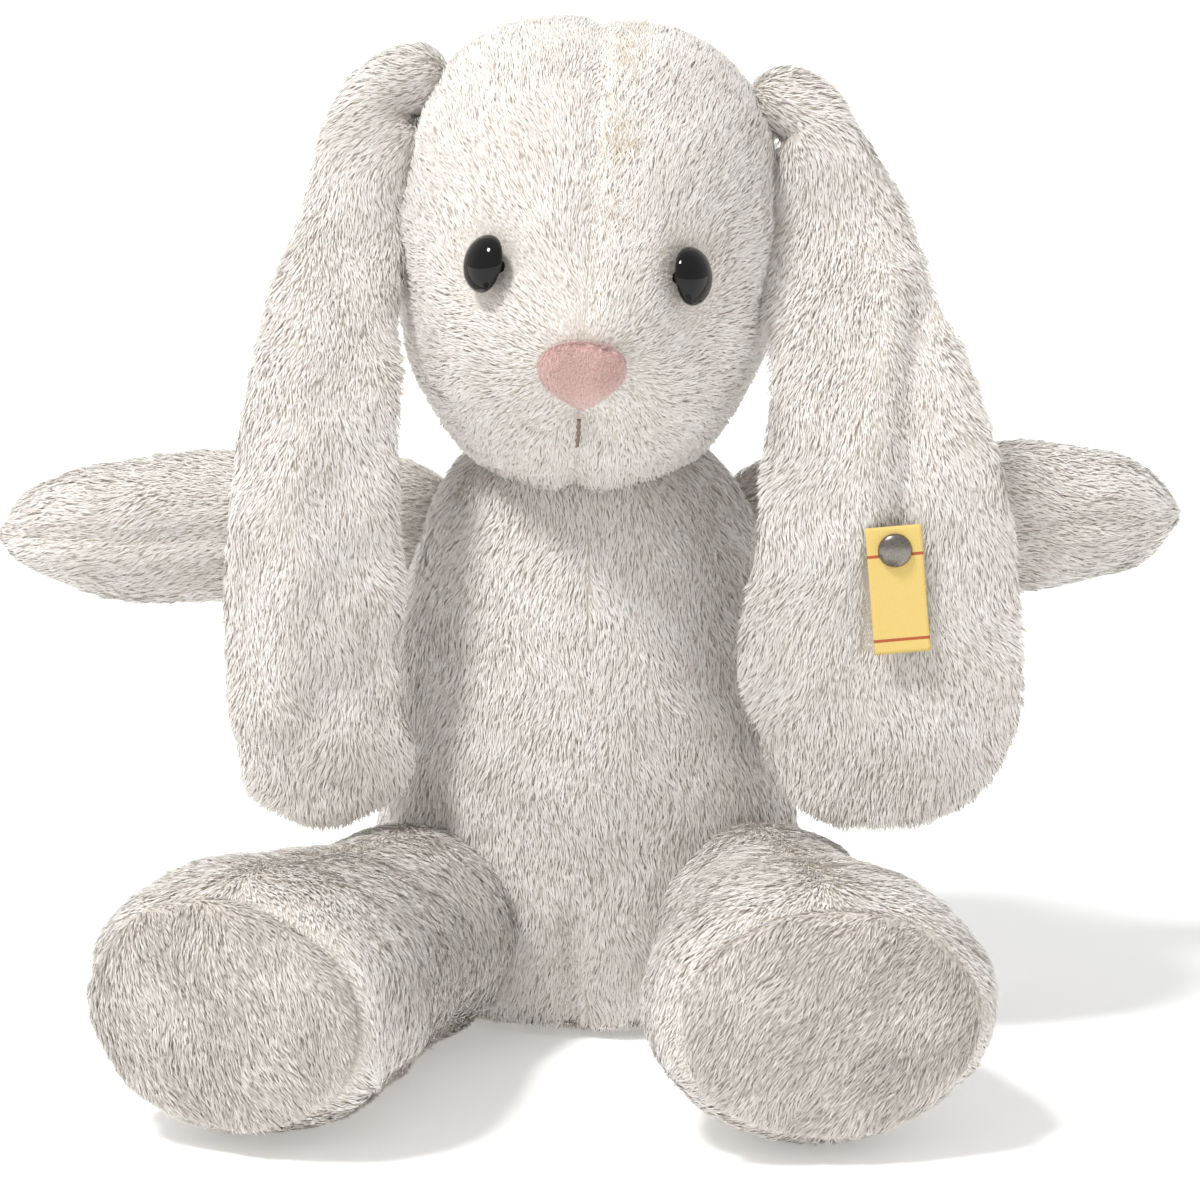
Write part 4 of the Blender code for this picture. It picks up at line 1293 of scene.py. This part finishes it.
@dataclass
class Ear:
    """Long hanging ear: a soft double panel, folded lengthwise.

    Attributes:
        outline: Rows of height, inner and outer edge of the pile, and depth in Y.
        thick: Half thickness of the knit cover.
        shoulder: Rows of reach outwards, down and forwards from the root, lean of the
            width in degrees, and half width and half thickness of the cover.
        folds: Creases as (height, X) points, each with its depth and width.
    """

    shop: Workshop
    groomer: Groomer
    side: str
    outline: tuple[tuple[float, float, float, float], ...]
    thick: float
    folds: tuple[tuple[tuple[tuple[float, float], ...], float, float], ...]
    shoulder: tuple[tuple[float, float, float, float, float, float], ...] = (
        (0.0082, 0.0025, 0.003, 42.0, 0.0090, 0.0080), (0.0106, 0.0105, 0.006, 16.0, 0.0120, 0.0070),
    )
    root_radius: float = 0.0088
    segments: int = 56
    seed: int = 50

    def stations(self) -> list[Station]:
        """Key stations from the sewn root over the shoulder of the ear to its tip."""
        sign = SIDES[self.side]
        root = pivot(f"ear_{self.side}_lift")
        radius = self.root_radius
        keys = []
        for out, size in ((-1.0, 0.35), (-0.6, 0.8), (0.0, 1.0)):
            spot = root + X * sign * out * radius
            keys.append((spot, Z * sign, Y, size * radius, size * radius))
        for out, down, ahead, lean, wide, deep in self.shoulder:
            angle = math.radians(lean)
            across = X * math.cos(angle) + Z * sign * math.sin(angle)
            spot = root + Vector((sign * out, -ahead, -down))
            keys.append((spot, across, Y, wide, deep))
        for height, inner, outer, depth in self.outline:
            centre = Vector(((inner + outer) / 2.0, depth, height))
            half = abs(outer - inner) / 2.0 - PILE_DEPTH
            slim = min(1.0, 0.45 + 0.55 * half / 0.012)
            keys.append((centre, X, Y, half, self.thick * slim))
        return keys

    def build(self, blend_end: Vector, rivet: Vector | None = None) -> None:
        """Make and dress the ear's cover and pile.

        Args:
            blend_end: Not used; the point past which the ear would move as one with its body.
            rivet: Centre of the rivet's face, if the ear has one.
        """
        skin = piece_of(f"ear_{self.side}_cover", loft(eased(self.stations(), 7), self.segments))
        points = coordinates(skin.data)
        seams = []
        for line, depth, width in self.folds:
            spots = []
            for height, x in line:
                gap = np.hypot(points[:, 0] - x, points[:, 2] - height) + 10.0 * (points[:, 1] > np.interp(
                    height, [row[0] for row in self.outline[::-1]], [row[3] for row in self.outline[::-1]]))
                spots.append(points[np.argmin(gap)])
            seams.append(Seam(np.array(spots), depth, width, 0.8))
        sculpt(skin, seams, 0.6 * MM, 26.0 * MM, self.seed)

        def nap(points: np.ndarray) -> np.ndarray:
            """Down the ear, and outwards over its root."""
            way = np.zeros_like(points)
            top = np.clip((points[:, 2] - 0.225) / 0.02, 0.0, 1.0)
            way[:, 0] = SIDES[self.side] * 1.2 * top
            way[:, 1] = 0.10
            way[:, 2] = -1.0 + 0.5 * top
            rows = np.array(self.outline[::-1])
            middles = np.interp(points[:, 2], rows[:, 0], (rows[:, 1] + rows[:, 2]) / 2.0)
            way[:, 0] += 14.0 * (points[:, 0] - middles) * (1.0 - top)
            return way

        def trim(points: np.ndarray) -> np.ndarray:
            """Pressed flat under the tag and rivet."""
            share = np.ones(len(points))
            if rivet is None:
                return share
            down = rivet.z - points[:, 2]
            under = (points[:, 1] < rivet.y + 0.012) & (down < 0.026) & (down > -0.003)
            under &= np.abs(points[:, 0] - rivet.x + 0.03 * down) < 0.0075
            share[under] = 0.3
            gap = np.hypot(points[:, 0] - rivet.x, points[:, 2] - rivet.z)
            near = (gap < 0.008) & (points[:, 1] < rivet.y + 0.012)
            share[near] = np.minimum(share[near], 0.25 + 0.4 * gap[near] / 0.008)
            return share

        coat = Coat(nap, tuple(seams), trim)
        fur = self.groomer.plant(f"ear_{self.side}_pile", skin, coat, self.seed + 1)
        self.shop.dress(fur, Look.PILE)
        nodes = (f"ear_{self.side}_front_panel", f"ear_{self.side}_back_panel")
        self.shop.dress(skin, Look.KNIT, *nodes)
        for piece in (skin, fur):
            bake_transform(piece)


@dataclass
class EarTag:
    """Dome rivet, its washer, and a woven ribbon tag that swings on it."""

    shop: Workshop
    size: tuple[float, float] = (0.0145, 0.033)
    thickness: float = 0.5 * MM
    radius: float = 0.0044
    height: float = 0.0018
    shank: float = 0.0015
    lean: float = 5.0
    above_rivet: float = 0.0062  # the tag's top edge above the rivet's axis

    def build(self) -> None:
        """Make and dress the rivet and the tag."""
        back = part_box("ear_rivet")[1].y
        axis = pivot("tag_swing")
        tag_low, tag_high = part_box("ear_tag")
        face = frame_at(Vector((axis.x, tag_low.y - 0.15 * MM, axis.z)), -Y)
        depth = back - tag_low.y
        profile = [(0.0, -depth), (self.shank, -depth), (self.shank, 0.0), (0.80 * self.radius, 0.0)]
        profile += [(0.97 * self.radius, 0.0002), (self.radius, 0.0006)]
        for step in range(1, 15):
            angle = math.radians(90.0) * step / 14.0
            place = (self.radius * 0.985 * math.cos(angle), 0.0006 + self.height * math.sin(angle))
            profile.append(place)
        rivet = piece_of("rivet_dome", turned(profile, face, 64))
        rivet.data.set_sharp_from_angle(angle=math.radians(45.0))
        self.shop.add(rivet, Look.STEEL, "ear_left", "ear_rivet")
        self.shop.repaint("ear_rivet_washer", Look.STEEL)

        lean = Matrix.Rotation(math.radians(self.lean), 4, "Z")
        top = Matrix.Translation(Vector((0.0, self.above_rivet, 0.0)))
        face.translation.y = (tag_low.y + tag_high.y) / 2.0
        tag = ribbon("ribbon_tag", self.size, self.thickness, face @ lean @ top, 1.0 * MM, 0.15 * MM)
        self.shop.add(tag, Look.RIBBON, "tag", "ear_tag")


# ---------------------------------------------------------------- limbs


@dataclass
class Arm:
    """Blunt mitt held straight out at the side."""

    shop: Workshop
    groomer: Groomer
    side: str
    lift: float
    shape: tuple[tuple[float, float], ...]
    root_radius: float = 0.019
    half_height: float = 0.0225
    half_depth: float = 0.0178
    length: float = 0.110
    segments: int = 56
    seed: int = 60

    def build(self) -> None:
        """Make and dress the arm's cover, pile and filling."""
        sign = SIDES[self.side]
        root = pivot(f"arm_{self.side}_swing")
        angle = math.radians(self.lift)
        along = X * sign * math.cos(angle) + Z * math.sin(angle)
        up = Y.cross(along) * -sign
        across = along.cross(up)
        small = self.root_radius - PILE_DEPTH
        keys = []
        for turn in (-75.0, -50.0, -20.0):
            size = small * math.cos(math.radians(turn))
            keys.append((root + along * small * math.sin(math.radians(turn)), across, up, size, size))
        for reach, share in self.shape:
            tall = max(self.half_height * share - PILE_DEPTH, 0.0015)
            deep = max(self.half_depth * share - PILE_DEPTH, 0.0012)
            keys.append((root + along * self.length * reach, across, up, deep, tall))
        skin = piece_of(f"arm_{self.side}_cover", loft(eased(keys, 7), self.segments))
        lines = []
        for facing in (-1.0, 1.0):
            line = []
            for spot, _, _, deep, _ in eased(keys, 3)[6:-2]:
                line.append(spot + Y * facing * deep)
            lines.append(np.array(line))
        seams = [Seam(line, 1.4 * MM, 2.8 * MM, 0.7) for line in lines]
        sculpt(skin, seams, 0.5 * MM, 24.0 * MM, self.seed)
        fill = inner_copy(f"arm_{self.side}_stuffing", skin, 3.2 * MM, self.seed + 1)
        way = along + Vector((0.0, 0.0, -0.22))
        coat = Coat(flow(*way), tuple(seams))
        fur = self.groomer.plant(f"arm_{self.side}_pile", skin, coat, self.seed + 2)
        body = f"arm_{self.side}"
        self.shop.add(fur, Look.PILE, body)
        self.shop.add(skin, Look.KNIT, body, f"{body}_upper_panel", f"{body}_lower_panel")
        self.shop.add(fill, Look.FILLING, body, f"{body}_filling")


@dataclass
class Leg:
    """Thick stub of a leg that lies forwards, with a sewn-in oval sole."""

    shop: Workshop
    groomer: Groomer
    side: str
    splay: float
    root_radius: float = 0.0295
    half_width: float = 0.0445
    half_height: float = 0.0355
    length: float = 0.101
    sole_share: float = 0.88
    segments: int = 64
    seed: int = 70

    def build(self) -> None:
        """Make and dress the leg's cover, sole, pile and filling."""
        sign = SIDES[self.side]
        body = f"leg_{self.side}"
        root = pivot(f"leg_{self.side}_splay")
        angle = math.radians(self.splay)
        along = Vector((sign * math.sin(angle), -math.cos(angle), 0.0))
        across = along.cross(Z)
        small = self.root_radius - PILE_DEPTH
        rise = self.half_height - root.z
        keys = []
        for turn in (-75.0, -50.0, -20.0):
            size = small * math.cos(math.radians(turn))
            keys.append((root + along * small * math.sin(math.radians(turn)), across, Z, size, size))

        def ring(reach: float, share: float, lift: float = 1.0) -> Station:
            """Station of the foot: reach from the hip and share of its full size."""
            spot = root + along * reach + Z * rise * lift
            wide, tall = self.half_width * share - PILE_DEPTH, self.half_height * share - PILE_DEPTH
            return spot, across, Z, wide, tall

        keys.append((root + along * 0.028 + Z * rise * 0.2, across, Z, small + 0.003, small + 0.0008))
        foot = [ring(0.058, 0.90), ring(0.080, 1.0), ring(0.092, 0.99), ring(0.099, 0.93),
                ring(0.1015, self.sole_share), ring(0.1005, 0.70), ring(0.1, 0.30)]
        skin = piece_of(f"{body}_cover", loft(eased(keys + foot, 6), self.segments))
        cap = [ring(0.0985, 0.40), ring(0.0985, 0.70), ring(0.1000, 0.86), ring(0.1030, 0.885),
               ring(0.1065, 0.80), ring(0.1090, 0.62), ring(0.1103, 0.38), ring(0.1107, 0.15)]
        sole = piece_of(f"{body}_sole_cover", loft(eased(cap, 5), self.segments))

        rim = []
        for turn in np.radians(np.arange(0.0, 365.0, 10.0)):
            wide, tall = ring(0.1, self.sole_share)[3:]
            spot = ring(0.1012, self.sole_share)[0]
            rim.append(spot + across * wide * math.cos(turn) + Z * tall * math.sin(turn))
        edge = Seam(np.array(rim), 0.9 * MM, 3.2 * MM, 0.45)
        top = [root + along * r + Z * (rise + h) for r, h in ((0.02, 0.030), (0.05, 0.030), (0.09, 0.033))]
        upper = Seam(np.array(top), 1.0 * MM, 2.8 * MM, 0.8)
        sculpt(skin, [edge, upper], 0.6 * MM, 30.0 * MM, self.seed)
        sculpt(sole, [edge], 0.5 * MM, 26.0 * MM, self.seed + 1)
        fill = inner_copy(f"{body}_stuffing", skin, 3.2 * MM, self.seed + 2)

        def nap(points: np.ndarray) -> np.ndarray:
            """From the parting on top round the leg, and a little towards the sole."""
            aside = np.array(across)
            off = (points - np.array(root)) @ aside
            way = np.tile(0.3 * np.array(along), (len(points), 1))
            way += np.clip(off / 0.010, -1.0, 1.0)[:, None] * aside
            way[:, 2] -= 0.7
            return way

        def half(facing: float) -> Field:
            """Strands on one side of the leg's upper and lower seams."""

            def keep(points: np.ndarray) -> np.ndarray:
                """Share of the strands that grow."""
                return ((points - np.array(root)) @ np.array(across) * facing >= 0.0).astype(float)

            return keep

        for panel, facing, seed in (("inner", sign, self.seed + 3), ("outer", -sign, self.seed + 5)):
            coat = Coat(nap, (edge, upper), keep=half(facing))
            fur = self.groomer.plant(f"{body}_{panel}_pile", skin, coat, seed)
            self.shop.add(fur, Look.PILE, body)
        sole_way = Vector((-sign * 0.5, 0.0, -0.85))

        def painted_sole_shade(points: np.ndarray) -> np.ndarray:
            """Painted shade of a sole: the darker look of a pile that faces down and is seen into its roots,
            put into its strands' colour.
            """
            return np.full(len(points), -0.36)

        # The sole's strands take painted shade: the darkest colours of the pile.
        sole_coat = Coat(flow(*sole_way), (edge,), shade=painted_sole_shade)
        sole_fur = self.groomer.plant(f"{body}_sole_pile", sole, sole_coat, self.seed + 4)
        self.shop.add(sole_fur, Look.PILE, body)
        self.shop.add(skin, Look.KNIT, body, f"{body}_inner_panel", f"{body}_outer_panel")
        self.shop.add(sole, Look.KNIT, body, f"{body}_sole")
        self.shop.add(fill, Look.FILLING, body, f"{body}_filling")


# ---------------------------------------------------------------- studio


@dataclass
class Studio:
    """White floor, soft daylight and the camera."""

    target: tuple[float, float, float] = (0.00324, 0.0, 0.1110)
    distance: float = 1.2
    elevation: float = 11.0
    lens: float = 133.3
    sky: float = 0.64
    key: float = 2.4
    key_from: tuple[float, float, float] = (-0.44, -0.35, 0.92)
    key_softness: float = 12.0
    floor_glow: float = 0.22  # light through the translucent table top

    def build(self) -> None:
        """Set up the camera, lights, floor and world."""
        scene = bpy.context.scene
        scene.view_settings.view_transform = "Standard"
        angle = math.radians(self.elevation)
        camera = bpy.data.objects.new("camera", bpy.data.cameras.new("camera"))
        camera.data.lens = self.lens
        camera.data.sensor_width = 36.0
        camera.data.clip_end = 60.0
        back = Vector((0.0, -math.cos(angle), math.sin(angle)))
        camera.location = Vector(self.target) + back * self.distance
        camera.rotation_euler = (math.pi / 2.0 - angle, 0.0, 0.0)
        scene.collection.objects.link(camera)
        scene.camera = camera

        world = bpy.data.worlds.new("studio")
        world.use_nodes = True
        world.node_tree.nodes["Background"].inputs["Color"].default_value = (1.0, 1.0, 1.0, 1.0)
        world.node_tree.nodes["Background"].inputs["Strength"].default_value = self.sky
        scene.world = world

        sun = bpy.data.lights.new("key", "SUN")
        sun.energy = self.key
        sun.angle = math.radians(self.key_softness)
        key = bpy.data.objects.new("key", sun)
        key.rotation_euler = Vector(self.key_from).to_track_quat("Z", "Y").to_euler()
        scene.collection.objects.link(key)

        bm = bmesh.new()
        bmesh.ops.create_grid(bm, x_segments=4, y_segments=4, size=15.0)
        floor = piece_of("floor", bm)
        board = Finish("lit_acrylic_table_top", "#fdfdfd", 0.9).build()
        shader = board.node_tree.nodes["Principled BSDF"]
        shader.inputs["Emission Color"].default_value = (1.0, 1.0, 1.0, 1.0)
        shader.inputs["Emission Strength"].default_value = self.floor_glow
        floor.data.materials.append(board)


# ---------------------------------------------------------------- the whole rabbit

EARS = {
    "left": {
        "outline": (
            (0.2187, 0.0456, 0.0845, -0.020), (0.1947, 0.0440, 0.0948, -0.034),
            (0.1657, 0.0446, 0.1057, -0.047), (0.1482, 0.0432, 0.1098, -0.050),
            (0.1253, 0.0402, 0.1138, -0.050), (0.1025, 0.0379, 0.1153, -0.050),
            (0.0874, 0.0421, 0.1135, -0.050), (0.0756, 0.0465, 0.1083, -0.050),
            (0.0678, 0.0516, 0.1010, -0.050), (0.0628, 0.0607, 0.0912, -0.050),
        ),
        "thick": 0.0046,
        "folds": (
            (((0.194, 0.0846), (0.186, 0.0840), (0.1756, 0.0831), (0.1608, 0.0823), (0.1451, 0.0805),
              (0.137, 0.0787)), 3.4 * MM, 4.6 * MM),
            (((0.2016, 0.0800), (0.1845, 0.0765), (0.1608, 0.0740), (0.1398, 0.0710)), -2.4 * MM, 7.0 * MM),
            (((0.1188, 0.0723), (0.1030, 0.0689), (0.0925, 0.0664)), 1.2 * MM, 7.0 * MM),
        ),
    },
    "right": {
        "outline": (
            (0.2185, -0.0442, -0.0770, -0.020), (0.1947, -0.0466, -0.0852, -0.034),
            (0.1657, -0.0466, -0.0920, -0.047), (0.1505, -0.0466, -0.0935, -0.050),
            (0.1257, -0.0457, -0.0960, -0.050), (0.1022, -0.0467, -0.0961, -0.050),
            (0.0914, -0.0462, -0.0951, -0.050), (0.0800, -0.0431, -0.0935, -0.050),
            (0.0716, -0.0454, -0.0909, -0.050), (0.0663, -0.0524, -0.0853, -0.050),
            (0.0628, -0.0600, -0.0770, -0.050),
        ),
        "thick": 0.0062,
        "folds": (
            (((0.2029, -0.0728), (0.1714, -0.0735), (0.1398, -0.0743), (0.1135, -0.0756),
              (0.0925, -0.0792)), -2.6 * MM, 7.5 * MM),
            (((0.1661, -0.0850), (0.1293, -0.0872), (0.1030, -0.0880)), 1.5 * MM, 5.0 * MM),
            (((0.1188, -0.0565), (0.1030, -0.0535), (0.0925, -0.0515)), 1.6 * MM, 4.0 * MM),
        ),
    },
}
ARM_SHAPES = {
    "left": ((0.16, 0.90), (0.34, 0.98), (0.5, 1.0), (0.7, 0.95), (0.86, 0.78), (0.95, 0.50), (0.985, 0.22)),
    "right": ((0.16, 0.90), (0.34, 0.98), (0.5, 1.0), (0.7, 0.92), (0.86, 0.70), (0.95, 0.44), (0.985, 0.2)),
}
ARM_LIFT = {"left": 2.0, "right": -1.0}
LEG_SPLAY = {"left": 7.0, "right": 24.0}


def main() -> None:
    """Build the rabbit part by part, then its studio."""
    logging.basicConfig(level=logging.INFO, format="%(name)s %(message)s")
    shop = Workshop()
    groomer = Groomer(Pile())
    Studio().build()
    Torso(shop, groomer).build()
    Head(shop, groomer).build()
    rivet = pivot("tag_swing")
    for side, sign in SIDES.items():
        end = Vector((sign * 0.075, -0.030, 0.200))
        ear = Ear(shop, groomer, side, seed=50 + 4 * (sign < 0.0), **EARS[side])
        ear.build(end, rivet if side == "left" else None)
        Arm(shop, groomer, side, ARM_LIFT[side], ARM_SHAPES[side], seed=60 + 4 * (sign < 0.0)).build()
        Leg(shop, groomer, side, LEG_SPLAY[side], seed=70 + 6 * (sign < 0.0)).build()
    EarTag(shop).build()


if __name__ == "__main__":
    main()
